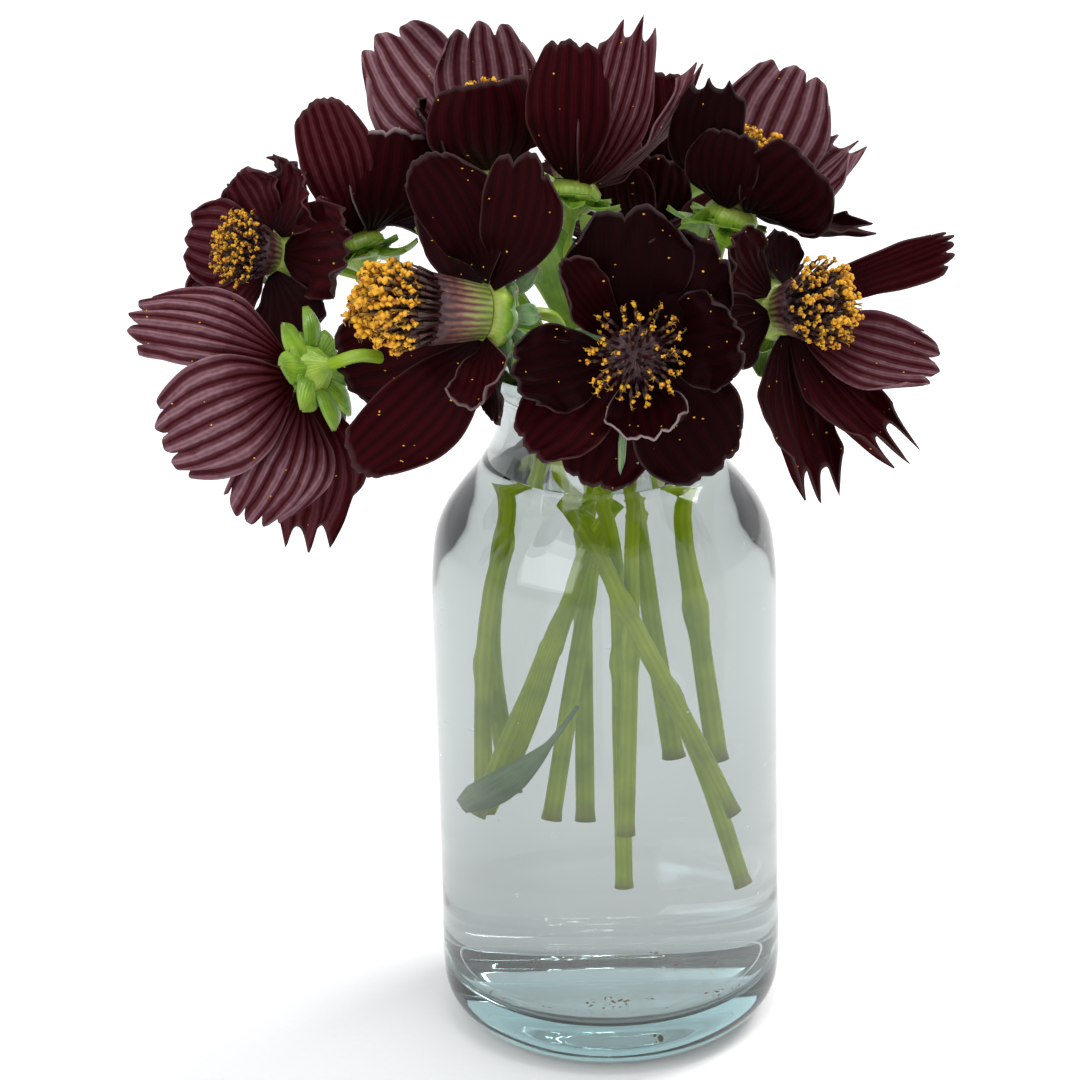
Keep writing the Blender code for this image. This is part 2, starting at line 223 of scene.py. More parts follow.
def blend(tree, factor, a, b, mode="MIX"):
    """Mixes two colours, each a socket or a tuple."""
    node = tree.nodes.new("ShaderNodeMix")
    node.data_type = "RGBA"
    node.blend_type = mode
    for key, value in ((0, factor), (6, a), (7, b)):
        if isinstance(value, (int, float)):
            node.inputs[key].default_value = value
        elif isinstance(value, tuple):
            node.inputs[key].default_value = (*value, 1)
        else:
            tree.links.new(value, node.inputs[key])
    return node.outputs[2]


def ramp(tree, factor, stops):
    node = tree.nodes.new("ShaderNodeValToRGB")
    tree.links.new(factor, node.inputs[0])
    elements = node.color_ramp.elements
    while len(elements) < len(stops):
        elements.new(0.5)
    for element, (place, colour) in zip(elements, stops):
        element.position = place
        element.color = (*colour, 1) if len(colour) == 3 else colour
    return node.outputs[0]


def shared_groups():
    """Vein bands, fine mottling and scattered specks, each used by more than one material."""
    tree, into, out = group(
        "Vein bands",
        [("Across", "NodeSocketFloat", 0.5), ("Wander", "NodeSocketFloat", 0.0), ("Count", "NodeSocketFloat", 7.0)],
        [("Ridge", "NodeSocketFloat")])
    moved = calc(tree, "ADD", into.outputs["Across"], into.outputs["Wander"])
    turn = calc(tree, "MULTIPLY", calc(tree, "MULTIPLY", moved, into.outputs["Count"]), 2 * math.pi)
    wave = calc(tree, "MULTIPLY_ADD", calc(tree, "COSINE", turn), 0.5, 0.5)
    tree.links.new(wave, out.inputs["Ridge"])

    tree, into, out = group(
        "Mottle",
        [("Vector", "NodeSocketVector", None), ("Scale", "NodeSocketFloat", 400.0), ("Detail", "NodeSocketFloat", 4.0)],
        [("Value", "NodeSocketFloat")])
    noise = put(tree, "ShaderNodeTexNoise", {
        "Vector": into.outputs["Vector"], "Scale": into.outputs["Scale"], "Detail": into.outputs["Detail"]})
    tree.links.new(noise.outputs[0], out.inputs["Value"])

    tree, into, out = group(
        "Specks",
        [("Vector", "NodeSocketVector", None), ("Scale", "NodeSocketFloat", 900.0), ("Size", "NodeSocketFloat", 0.1)],
        [("Mask", "NodeSocketFloat")])
    cells = put(tree, "ShaderNodeTexVoronoi", {"Vector": into.outputs["Vector"], "Scale": into.outputs["Scale"]})
    tree.links.new(calc(tree, "LESS_THAN", cells.outputs["Distance"], into.outputs["Size"]), out.inputs["Mask"])


def use(tree, name, links=None, values=None):
    node = tree.nodes.new("ShaderNodeGroup")
    node.node_tree = bpy.data.node_groups[name]
    for key, value in (values or {}).items():
        node.inputs[key].default_value = value
    for key, socket in (links or {}).items():
        tree.links.new(socket, node.inputs[key])
    return node.outputs[0]


def bump(tree, height, strength, distance):
    return put(tree, "ShaderNodeBump", {"Height": height}, {"Strength": strength, "Distance": distance}).outputs[0]


# ---------------------------------------------------------------- mesh helpers


def mesh_object(name, points, faces, look=None, uv=None, values=None):
    """An object from points in millimetres, with an optional UV per point and named point values."""
    mesh = bpy.data.meshes.new(name)
    mesh.from_pydata(np.asarray(points, float) * MM, [], [tuple(int(i) for i in f) for f in faces])
    if look:
        mesh.materials.append(look)
    loops = np.empty(len(mesh.loops), np.int32)
    mesh.loops.foreach_get("vertex_index", loops)
    if uv is not None:
        layer = mesh.uv_layers.new(name="UVMap")
        layer.data.foreach_set("uv", np.asarray(uv, np.float32)[loops].ravel())
    for label, numbers in (values or {}).items():
        layer = mesh.attributes.new(label, "FLOAT", "POINT")
        layer.data.foreach_set("value", np.asarray(numbers, np.float32))
    mesh.shade_smooth()
    made = bpy.data.objects.new(name, mesh)
    bpy.context.collection.objects.link(made)
    return made


def grid_faces(rows, cols, start=0, closed=False):
    """Quads of a grid of points in rows. A closed grid joins its last column to its first."""
    faces = []
    for i in range(rows - 1):
        for j in range(cols if closed else cols - 1):
            k = (j + 1) % cols
            a, b = start + i * cols, start + (i + 1) * cols
            faces.append((a + j, a + k, b + k, b + j))
    return faces


def facing(round_deg, up_deg):
    """The flower's own axes: out of its face, to its right and to its top."""
    a, e = math.radians(round_deg), math.radians(up_deg)
    out = np.array([math.cos(e) * math.sin(a), -math.cos(e) * math.cos(a), math.sin(e)])
    right = np.array([math.cos(a), math.sin(a), 0.0])
    return out, right, np.cross(out, right)


def pose(at, axes):
    """The matrix from a flower's own space, in metres with its face along +Z, to its place."""
    out, right, up = axes
    made = Matrix([[*row] for row in np.stack([right, up, out], 1)]).to_4x4()
    made.translation = Vector(at) * MM
    return made


def tidy(made, merge=0.000001):
    work = bmesh.new()
    work.from_mesh(made.data)
    bmesh.ops.remove_doubles(work, verts=work.verts, dist=merge)
    bmesh.ops.recalc_face_normals(work, faces=work.faces)
    work.to_mesh(made.data)
    work.free()


def applied(made):
    """The object with its modifiers turned into its mesh."""
    bpy.context.view_layer.update()
    graph = bpy.context.evaluated_depsgraph_get()
    mesh = bpy.data.meshes.new_from_object(made.evaluated_get(graph))
    made.modifiers.clear()
    made.data = mesh
    mesh.name = made.name
    return made


def hand_over(made, slot, *nodes):
    """Rides the finished piece on the bunch and hides the CAD nodes that it stands for. Its finish is not used."""
    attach(made, BODY)
    if nodes:
        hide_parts(*nodes)


def cad_nodes(name, kind):
    node = f"{name}_{kind}"
    return [node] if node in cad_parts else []


# ---------------------------------------------------------------- settings


class CosmosPetals(bpy.types.PropertyGroup):
    thickness: FloatProperty(
        name="Thickness", description="Thickness of a petal", default=0.00032, min=0.0001, subtype="DISTANCE", unit="LENGTH")
    rows: IntProperty(name="Rows", description="Cells along a petal", default=26, min=6)
    columns: IntProperty(name="Columns", description="Cells across a petal", default=40, min=6)
    dark: FloatVectorProperty(
        name="Dark colour", description="Colour of a petal's velvety face", default=(0.0040, 0.0004, 0.0007),
        subtype="COLOR", min=0, max=1)
    red: FloatVectorProperty(
        name="Red colour", description="Colour where light comes through", default=(0.032, 0.0014, 0.0028),
        subtype="COLOR", min=0, max=1)
    # The mauve is painted sheen, the colour of petal ridges that catch the light.
    mauve: FloatVectorProperty(
        name="Mauve colour", description="Colour of a petal's bloomed ridges", default=(0.235, 0.128, 0.150),
        subtype="COLOR", min=0, max=1)
    specks: FloatProperty(name="Pollen specks", description="Specks to a square metre", default=21000, min=0)


class CosmosDiscs(bpy.types.PropertyGroup):
    florets: IntProperty(name="Florets", description="Florets on one disc", default=96, min=8)
    yellow: FloatVectorProperty(
        name="Pollen colour", description="Colour of fresh pollen", default=(0.74, 0.35, 0.010),
        subtype="COLOR", min=0, max=1)
    brown: FloatVectorProperty(
        name="Tube colour", description="Colour of the anther tubes", default=(0.036, 0.007, 0.005),
        subtype="COLOR", min=0, max=1)


class CosmosGreens(bpy.types.PropertyGroup):
    stem_radius: FloatProperty(
        name="Stem radius", description="Half a stem's thickness", default=0.0012, min=0.0002, subtype="DISTANCE", unit="LENGTH")
    # The stem colour is painted light: lighter than the stems' own green, for light lost in the glass and water.
    stem: FloatVectorProperty(
        name="Stem colour", description="Colour of the stems", default=(0.60, 0.78, 0.012), subtype="COLOR", min=0, max=1)
    leaf: FloatVectorProperty(
        name="Bract colour", description="Colour of bracts and leaf", default=(0.105, 0.215, 0.075),
        subtype="COLOR", min=0, max=1)


class CosmosBottle(bpy.types.PropertyGroup):
    turns: IntProperty(name="Sides", description="Steps round the bottle", default=128, min=16)
    water_top: FloatProperty(
        name="Water level", description="Height of the water", default=0.1135, subtype="DISTANCE", unit="LENGTH")
    tint: FloatVectorProperty(
        name="Glass tint", description="Colour that thick glass takes", default=(0.30, 0.84, 0.92),
        subtype="COLOR", min=0, max=1)


# ---------------------------------------------------------------- materials


def petal_material(settings):
    made, tree, shader = new_material("petal velvet")
    uv = put(tree, "ShaderNodeUVMap", uv_map="UVMap")
    split = put(tree, "ShaderNodeSeparateXYZ", {"Vector": uv.outputs[0]})
    across, along = split.outputs[0], split.outputs[1]
    place = put(tree, "ShaderNodeTexCoord").outputs["Object"]
    # Painted sheen: each petal's own value lightens it towards mauve where it catches the light.
    tone = put(tree, "ShaderNodeAttribute", attribute_name="tone").outputs["Fac"]
    pale = put(tree, "ShaderNodeAttribute", attribute_name="pale").outputs["Fac"]
    drift = use(tree, "Mottle", {"Vector": place}, {"Scale": 160.0, "Detail": 2.0})
    wander = calc(tree, "MULTIPLY_ADD", drift, 0.05, -0.025)
    # Broad bands follow the pleats: painted sheen on the ridges and painted shade in the furrows; finer bands vary it
    # along the veins.
    broad = use(tree, "Vein bands", {"Across": across, "Wander": wander}, {"Count": 7.0})
    fine = use(tree, "Vein bands", {"Across": across, "Wander": wander}, {"Count": 27.0})
    mottle = use(tree, "Mottle", {"Vector": place}, {"Scale": 900.0, "Detail": 5.0})
    broad = calc(tree, "POWER", broad, 0.7)
    sheen_level = calc(tree, "MULTIPLY", tone, calc(tree, "MULTIPLY_ADD", broad, 0.66, 0.34))
    sheen_level = calc(tree, "MULTIPLY", sheen_level, calc(tree, "MULTIPLY_ADD", fine, 0.22, 0.78))
    # The painted sheen fades towards the claw.
    reach = put(tree, "ShaderNodeMapRange", {"Value": along}, {"From Min": 0.05, "From Max": 0.55}).outputs[0]
    sheen_level = calc(tree, "MULTIPLY", sheen_level, calc(tree, "MULTIPLY_ADD", reach, 0.75, 0.25))
    sheen_level = calc(tree, "MULTIPLY", sheen_level, calc(tree, "MULTIPLY_ADD", mottle, 0.5, 0.75))
    # The ramp runs from the velvety dark face through red, painted light coming through the petal, to mauve, painted
    # sheen.
    colour = ramp(tree, sheen_level, [
        (0.0, tuple(settings.dark)), (0.24, tuple(settings.red)), (0.55, (0.078, 0.022, 0.029)),
        (1.0, tuple(settings.mauve))])
    # A pale rim along the petal's sides and tip, stronger on petals with a pale edge: painted highlight.
    edge = calc(tree, "ABSOLUTE", calc(tree, "MULTIPLY_ADD", across, 2.0, -1.0))
    edge = calc(tree, "MAXIMUM", edge, along)
    rim = put(tree, "ShaderNodeMapRange", {"Value": edge}, {"From Min": 0.955, "From Max": 1.0}).outputs[0]
    rim = calc(tree, "MULTIPLY", rim, calc(tree, "MULTIPLY_ADD", pale, 0.8, 0.12))
    colour = blend(tree, rim, colour, (0.26, 0.20, 0.20))
    tree.links.new(colour, shader.inputs["Base Color"])
    rough = calc(tree, "MULTIPLY_ADD", mottle, 0.2, 0.42)
    tree.links.new(rough, shader.inputs["Roughness"])
    height = calc(tree, "ADD", calc(tree, "MULTIPLY", fine, 0.7), mottle)
    tree.links.new(bump(tree, height, 0.35, 0.00012), shader.inputs["Normal"])
    shader.inputs["Specular IOR Level"].default_value = 0.045
    shader.inputs["Specular Tint"].default_value = (1.0, 0.62, 0.66, 1)
    shader.inputs["Sheen Weight"].default_value = 0.006
    shader.inputs["Sheen Roughness"].default_value = 0.4
    shader.inputs["Sheen Tint"].default_value = (0.80, 0.45, 0.52, 1)
    return made


def floret_material(settings):
    made, tree, shader = new_material("floret")
    place = put(tree, "ShaderNodeTexCoord").outputs["Object"]
    pollen = put(tree, "ShaderNodeAttribute", attribute_name="pollen").outputs["Fac"]
    mottle = use(tree, "Mottle", {"Vector": place}, {"Scale": 700.0, "Detail": 3.0})
    grain = use(tree, "Mottle", {"Vector": place}, {"Scale": 3500.0, "Detail": 2.0})
    yellow = ramp(tree, mottle, [
        (0.30, (0.24, 0.055, 0.008)), (0.45, tuple(settings.yellow)), (0.62, (0.76, 0.40, 0.015)), (0.8, (0.58, 0.19, 0.012))])
    tube = ramp(tree, mottle, [(0.3, (0.020, 0.005, 0.005)), (0.6, tuple(settings.brown)), (0.85, (0.16, 0.045, 0.02))])
    colour = blend(tree, pollen, tube, yellow)
    tree.links.new(colour, shader.inputs["Base Color"])
    tree.links.new(calc(tree, "MULTIPLY_ADD", pollen, 0.35, 0.4), shader.inputs["Roughness"])
    tree.links.new(bump(tree, grain, 0.5, 0.0002), shader.inputs["Normal"])
    return made


def collar_material():
    made, tree, shader = new_material("chaff")
    uv = put(tree, "ShaderNodeUVMap", uv_map="UVMap")
    split = put(tree, "ShaderNodeSeparateXYZ", {"Vector": uv.outputs[0]})
    place = put(tree, "ShaderNodeTexCoord").outputs["Object"]
    wander = calc(tree, "MULTIPLY_ADD", use(tree, "Mottle", {"Vector": place}, {"Scale": 300.0}), 0.03, 0.0)
    band = use(tree, "Vein bands", {"Across": split.outputs[0], "Wander": wander}, {"Count": 26.0})
    mottle = use(tree, "Mottle", {"Vector": place}, {"Scale": 800.0})
    rise = calc(tree, "ADD", split.outputs[1], calc(tree, "MULTIPLY_ADD", mottle, 0.5, -0.25))
    ground = ramp(tree, rise, [
        (0.0, (0.22, 0.33, 0.045)), (0.42, (0.36, 0.36, 0.11)), (0.68, (0.30, 0.13, 0.10)), (1.0, (0.055, 0.012, 0.018))])
    dark = ramp(tree, rise, [(0.0, (0.13, 0.20, 0.03)), (0.4, (0.14, 0.045, 0.05)), (1.0, (0.025, 0.005, 0.01))])
    colour = blend(tree, band, dark, ground)
    tree.links.new(colour, shader.inputs["Base Color"])
    tree.links.new(bump(tree, band, 0.4, 0.0003), shader.inputs["Normal"])
    shader.inputs["Roughness"].default_value = 0.5
    return made


def green_material(name, body, pale, flush, scale):
    """Waxy green flesh with a paler rib along the middle and a flush of another colour."""
    made, tree, shader = new_material(name)
    uv = put(tree, "ShaderNodeUVMap", uv_map="UVMap")
    split = put(tree, "ShaderNodeSeparateXYZ", {"Vector": uv.outputs[0]})
    place = put(tree, "ShaderNodeTexCoord").outputs["Object"]
    mottle = use(tree, "Mottle", {"Vector": place}, {"Scale": scale, "Detail": 4.0})
    fine = use(tree, "Vein bands", {"Across": split.outputs[0]}, {"Count": 9.0})
    side = calc(tree, "ABSOLUTE", calc(tree, "MULTIPLY_ADD", split.outputs[0], 2.0, -1.0))
    rib = put(tree, "ShaderNodeMapRange", {"Value": side}, {"From Min": 0.22, "From Max": 0.0}).outputs[0]
    colour = ramp(tree, mottle, [(0.32, body), (0.7, pale)])
    colour = blend(tree, calc(tree, "MULTIPLY", rib, 0.55), colour, pale)
    tip = put(tree, "ShaderNodeMapRange", {"Value": split.outputs[1]}, {"From Min": 0.7, "From Max": 1.0}).outputs[0]
    colour = blend(tree, calc(tree, "MULTIPLY", tip, 0.6), colour, flush)
    tree.links.new(colour, shader.inputs["Base Color"])
    tree.links.new(calc(tree, "MULTIPLY_ADD", mottle, 0.3, 0.25), shader.inputs["Roughness"])
    tree.links.new(bump(tree, calc(tree, "ADD", fine, mottle), 0.3, 0.0002), shader.inputs["Normal"])
    shader.inputs["Coat Weight"].default_value = 0.15
    return made


def stem_material(settings):
    made, tree, shader = new_material("stem skin")
    uv = put(tree, "ShaderNodeUVMap", uv_map="UVMap")
    split = put(tree, "ShaderNodeSeparateXYZ", {"Vector": uv.outputs[0]})
    place = put(tree, "ShaderNodeTexCoord").outputs["Object"]
    mottle = use(tree, "Mottle", {"Vector": place}, {"Scale": 120.0, "Detail": 4.0})
    ribs = use(tree, "Vein bands", {"Across": split.outputs[0]}, {"Count": 8.0})
    colour = ramp(tree, mottle, [
        (0.28, (0.38, 0.54, 0.012)), (0.5, tuple(settings.stem)), (0.72, (0.74, 0.88, 0.03))])
    colour = blend(tree, calc(tree, "MULTIPLY", ribs, 0.2), colour, (0.24, 0.36, 0.02))
    # Painted light: in the water the stems are painted lighter than their own green, for light lost in the glass; above
    # the water the skin is a deeper green.
    height = put(tree, "ShaderNodeSeparateXYZ", {"Vector": place}).outputs[2]
    above_water = put(tree, "ShaderNodeMapRange", {"Value": height}, {"From Min": 0.110, "From Max": 0.135}).outputs[0]
    colour = blend(tree, calc(tree, "MULTIPLY", above_water, 0.75), colour, (0.15, 0.27, 0.02))
    cut = put(tree, "ShaderNodeMapRange", {"Value": split.outputs[1]}, {"From Min": 0.02, "From Max": 0.0}).outputs[0]
    colour = blend(tree, calc(tree, "MULTIPLY", cut, 0.5), colour, (0.30, 0.20, 0.08))
    tree.links.new(colour, shader.inputs["Base Color"])
    tree.links.new(calc(tree, "MULTIPLY_ADD", mottle, 0.2, 0.3), shader.inputs["Roughness"])
    tree.links.new(bump(tree, ribs, 0.25, 0.0002), shader.inputs["Normal"])
    return made


# ---------------------------------------------------------------- petals


def half_width(s, width, blunt=0.0, claw=0.16):
    """Narrow at the claw, widest two thirds of the way out, and rounded or blunt at the tip."""
    swell = np.sin(np.pi * np.minimum(1.0, s / (1.36 + 0.5 * blunt))) ** (0.9 - 0.2 * blunt)
    return 0.5 * width * (claw * (1 - s) + swell)


def petal_sheet(at, axes, rim, petal, rows, cols, rng):
    """Points, UV and painted sheen of one petal as a fine grid, row by row from the claw."""
    out, right, up = axes
    turn, opening, length, width, bow, tone, more = petal
    t0, o = math.radians(turn), math.radians(opening)
    away = up * math.cos(t0) + right * math.sin(t0)
    side0 = np.cross(out, away)
    chord = out * math.cos(o) + away * math.sin(o)
    inner0 = np.cross(chord, side0)
    s, t = np.meshgrid(np.linspace(0, 1, rows + 1), np.linspace(-1, 1, cols + 1), indexing="ij")
    lobes = more.get("lobes", 1.5)
    slide = more.get("shift", rng.uniform(-0.12, 0.12))
    wave = np.pi * lobes * (t + slide)
    f1, f2, p1, p2 = rng.uniform(3, 5), rng.uniform(7, 10), rng.uniform(0, 6.28), rng.uniform(0, 6.28)
    tip = 1.0 - 0.13 * np.abs(t) ** 2.4 + more.get("teeth", 0.06) * (np.abs(np.cos(wave)) ** 0.5 - 0.8)
    tip += 0.011 * np.sin(9.0 * t + p1) * np.cos(14.0 * t + p2)
    if "sharp" in more:
        tip = 1.0 - 0.10 * np.abs(t) ** 2 + more["sharp"] * ((1 - np.abs(np.sin(wave))) ** 1.5 - 0.45)
    run = s * tip
    twist = np.radians(more.get("twist", rng.uniform(-7, 7))) * s
    half = half_width(s, width, more.get("blunt", 0.0))
    pleats = 3.5
    pleat = more.get("pleat", 0.22)
    ridge = pleat * 0.5 * np.cos(2 * np.pi * pleats * t) * np.sin(np.pi * np.clip(s * 1.05, 0, 1) ** 0.8) ** 0.7
    cup = more.get("cup", 0.10) * width * s
    ruffle = more.get("ruffle", 0.45)
    frill = ruffle * (np.sin(f1 * s * np.pi + p1) * t * np.abs(t) + 0.45 * np.sin(f2 * t + p2) * s ** 3)
    frill += ruffle * 0.3 * np.sin(1.7 * f2 * t + f1 * s * 4 + p1) * s ** 4
    frill += ruffle * 0.35 * np.sin(f2 * s * np.pi + p2) * np.abs(t) ** 3
    curl = more.get("curl", rng.uniform(-0.6, 0.6))
    lift = cup * t ** 2 + ridge + frill * np.clip(s * 2, 0, 1) + curl * s ** 3
    grow = lambda a: a[..., None]
    # A petal may turn about its own length, so that its face shows to the front.
    front = np.cross(chord, VIEW)
    front /= np.linalg.norm(front)
    roll = math.atan2(front.dot(inner0), front.dot(side0))
    roll -= math.pi * round(roll / math.pi)
    twist = twist + more.get("face", 0.0) * roll * np.clip(s / 0.35, 0, 1) ** 1.2
    side = grow(np.cos(twist)) * side0 + grow(np.sin(twist)) * inner0
    inner = grow(np.cos(twist)) * inner0 - grow(np.sin(twist)) * side0
    sway = rng.uniform(-0.05, 0.05) * length * s ** 2
    points = at + away * rim + chord * grow(length * run) - inner0 * grow(bow * 4 * s * (1 - s))
    points = points + side * grow(half * t + sway) + inner * grow(lift)
    uv = np.stack([(t + 1) / 2, s], -1)
    return points.reshape(-1, 3), uv.reshape(-1, 2), np.full(s.size, tone), np.full(s.size, more.get("pale_edge", 0.0))


def make_corolla(name, flower, settings, look):
    at, faces_to, rim, _, _, petals = flower
    axes = facing(*faces_to)
    rng = np.random.default_rng(100 + list(FLOWERS).index(name))
    rows, cols = settings.rows, settings.columns
    points, faces, uv, tone, pale = [], [], [], [], []
    for n, petal in enumerate(sorted(petals, key=lambda p: p[0])):
        lift = axes[0] * (0.35 if n % 2 else -0.1)
        sheet = petal_sheet(np.array(at, float) + lift, axes, rim - 0.9, petal, rows, cols, rng)
        faces += grid_faces(rows + 1, cols + 1, len(points) * (rows + 1) * (cols + 1))
        for store, part in zip((points, uv, tone, pale), sheet):
            store.append(part)
    made = mesh_object(
        name + "_corolla", np.concatenate(points), faces, look, np.concatenate(uv),
        {"tone": np.concatenate(tone), "pale": np.concatenate(pale)})
    thick = made.modifiers.new("thickness", "SOLIDIFY")
    thick.thickness = settings.thickness
    thick.offset = 0
    applied(made)
    hand_over(made, "petal", *cad_nodes(name, "petals"))
    return made


# ---------------------------------------------------------------- florets


def floret_variant(name, kind, rng):
    """One floret about 7 mm long, its foot at the origin and its mouth towards +Z."""
    points, faces, pollen = [], [], []

    def add_rings(rings, sides, bend, value):
        start = len(points)
        for height, radius, shift in rings:
            for k in range(sides):
                a = 2 * math.pi * k / sides
                points.append((radius * math.cos(a) + bend[0] * shift, radius * math.sin(a) + bend[1] * shift, height))
                pollen.append(value)
        faces.extend(grid_faces(len(rings), sides, start, True))
        faces.append(tuple(reversed(range(start, start + sides))))
        faces.append(tuple(range(len(points) - sides, len(points))))

    bend = rng.uniform(-0.5, 0.5, 2)
    if kind == "bud":
        add_rings([(0, 0.35, 0), (3.2, 0.42, 0.1), (4.8, 0.55, 0.35), (5.8, 0.12, 0.5)], 5, bend, 0.0)
    else:
        add_rings([(0, 0.30, 0), (3.0, 0.37, 0.2), (4.8, 0.50, 0.6)], 5, bend, 0.0)
        add_rings([(4.7, 0.29, 0.6), (6.6, 0.22, 1.2)], 4, bend, 0.12)
        count = {"bare": 1, "some": 3, "full": 4}[kind]
        for _ in range(count):
            a, lean = rng.uniform(0, 2 * math.pi), rng.uniform(0.15, 0.62)
            cx, cy = bend[0] * 1.1 + lean * math.cos(a), bend[1] * 1.1 + lean * math.sin(a)
            z, size = rng.uniform(5.9, 7.2), rng.uniform(0.30, 0.52)
            start = len(points)
            for height, radius in ((-0.9, 0.42), (0.1, 1.12), (0.95, 0.38)):
                for k in range(4):
                    b = 2 * math.pi * k / 4 + rng.uniform(-0.3, 0.3)
                    r = size * radius * rng.uniform(0.8, 1.2)
                    points.append((cx + r * math.cos(b), cy + r * math.sin(b), z + size * height))
                    pollen.append(1.0)
            faces.extend(grid_faces(3, 4, start, True))
            faces.append(tuple(reversed(range(start, start + 4))))
            faces.append(tuple(range(len(points) - 4, len(points))))
        for _ in range(1 if kind == "full" else 2):
            a = rng.uniform(0, 2 * math.pi)
            d = np.array([math.cos(a), math.sin(a)])
            add = [(6.5, 0.15, 0.0), (7.4, 0.15, 0.5), (7.2, 0.10, 1.1)]
            start = len(points)
            for height, radius, shift in add:
                for k in range(3):
                    b = 2 * math.pi / 3 * k
                    points.append((bend[0] * 1.2 + d[0] * shift + radius * math.cos(b),
                                   bend[1] * 1.2 + d[1] * shift + radius * math.sin(b), height))
                    pollen.append(0.55)
            faces.extend(grid_faces(len(add), 3, start, True))
            faces.append(tuple(reversed(range(start, start + 3))))
            faces.append(tuple(range(len(points) - 3, len(points))))
    return mesh_object(name, points, faces, None, None, {"pollen": pollen})


def geometry_tree(name, inputs):
    tree = bpy.data.node_groups.new(name, "GeometryNodeTree")
    tree.interface.new_socket("Geometry", in_out="INPUT", socket_type="NodeSocketGeometry")
    for label, kind, value in inputs:
        socket = tree.interface.new_socket(label, in_out="INPUT", socket_type=kind)
        if value is not None:
            socket.default_value = value
    tree.interface.new_socket("Geometry", in_out="OUTPUT", socket_type="NodeSocketGeometry")
    return tree, tree.nodes.new("NodeGroupInput"), tree.nodes.new("NodeGroupOutput")


def disc_tree():
    """Florets packed in a sunflower spiral over a low dome, each leaning out from the middle."""
    tree, into, out = geometry_tree("Disc of florets", [
        ("Count", "NodeSocketInt", 120), ("Foot radius", "NodeSocketFloat", 0.004), ("Foot height", "NodeSocketFloat", 0.002),
        ("Dome", "NodeSocketFloat", 0.003), ("Lean", "NodeSocketFloat", 0.01), ("Scale", "NodeSocketFloat", 1.0),
        ("Taper", "NodeSocketFloat", 0.1), ("Buds", "NodeSocketFloat", 0.1), ("Most pollen", "NodeSocketInt", 5), ("Seed", "NodeSocketInt", 1), ("Florets", "NodeSocketCollection", None),
        ("Material", "NodeSocketMaterial", None)])
    link = tree.links.new
    points = put(tree, "GeometryNodePoints", {"Count": into.outputs["Count"]})
    index = put(tree, "GeometryNodeInputIndex").outputs[0]
    share = calc(tree, "DIVIDE", calc(tree, "ADD", index, 0.5), into.outputs["Count"])
    radius = calc(tree, "MULTIPLY", calc(tree, "SQRT", share), into.outputs["Foot radius"])
    angle = calc(tree, "MULTIPLY", index, 2.399963)
    x = calc(tree, "MULTIPLY", radius, calc(tree, "COSINE", angle))
    y = calc(tree, "MULTIPLY", radius, calc(tree, "SINE", angle))
    drop = calc(tree, "MULTIPLY", share, into.outputs["Dome"])
    z = calc(tree, "SUBTRACT", into.outputs["Foot height"], drop)
    spot = put(tree, "ShaderNodeCombineXYZ", {"X": x, "Y": y, "Z": z}).outputs[0]
    placed = put(tree, "GeometryNodeSetPosition", {"Geometry": points.outputs[0], "Position": spot}).outputs[0]
    heading = put(tree, "ShaderNodeCombineXYZ", {"X": x, "Y": y, "Z": into.outputs["Lean"]}).outputs[0]
    jitter = put(tree, "FunctionNodeRandomValue", {"Seed": into.outputs["Seed"]}, data_type="FLOAT_VECTOR")
    jitter.inputs["Min"].default_value = (-0.0011, -0.0011, 0)
    jitter.inputs["Max"].default_value = (0.0011, 0.0011, 0)
    aim = put(tree, "ShaderNodeVectorMath", operation="ADD")
    link(heading, aim.inputs[0])
    link(jitter.outputs[0], aim.inputs[1])
    turned = put(tree, "FunctionNodeAlignRotationToVector", {"Vector": aim.outputs[0]}, axis="Z")
    spin = put(tree, "FunctionNodeRandomValue", {"Seed": into.outputs["Seed"]}, data_type="FLOAT")
    spin.inputs[3].default_value = 2 * math.pi
    about = put(tree, "FunctionNodeAxisAngleToRotation", {"Angle": spin.outputs[1]}, {"Axis": (0, 0, 1)})
    both = put(tree, "FunctionNodeRotateRotation", rotation_space="LOCAL")
    link(turned.outputs[0], both.inputs[0])
    link(about.outputs[0], both.inputs[1])
    size = put(tree, "FunctionNodeRandomValue", {"Seed": into.outputs["Seed"]}, data_type="FLOAT")
    size.inputs[2].default_value = 0.82
    size.inputs[3].default_value = 1.12
    scale = calc(tree, "MULTIPLY", size.outputs[1], into.outputs["Scale"])
    shorter = calc(tree, "SUBTRACT", 1.0, calc(tree, "MULTIPLY", share, into.outputs["Taper"]))
    scale = calc(tree, "MULTIPLY", scale, shorter)
    pick = put(tree, "FunctionNodeRandomValue", {"Seed": into.outputs["Seed"]}, data_type="INT")
    pick.inputs[4].default_value = 1
    link(into.outputs["Most pollen"], pick.inputs[5])
    in_bud = calc(tree, "LESS_THAN", share, into.outputs["Buds"])
    choice = calc(tree, "MULTIPLY", pick.outputs[2], calc(tree, "SUBTRACT", 1.0, in_bud))
    kinds = put(tree, "GeometryNodeCollectionInfo", {"Collection": into.outputs["Florets"]})
    kinds.inputs["Separate Children"].default_value = True
    kinds.inputs["Reset Children"].default_value = True
    put_on = put(tree, "GeometryNodeInstanceOnPoints", {
        "Points": placed, "Instance": kinds.outputs[0], "Instance Index": choice, "Rotation": both.outputs[0],
        "Scale": scale}, {"Pick Instance": True})
    real = put(tree, "GeometryNodeRealizeInstances", {"Geometry": put_on.outputs[0]})
    dressed = put(tree, "GeometryNodeSetMaterial", {"Geometry": real.outputs[0], "Material": into.outputs["Material"]})
    link(dressed.outputs[0], out.inputs[0])
    return tree


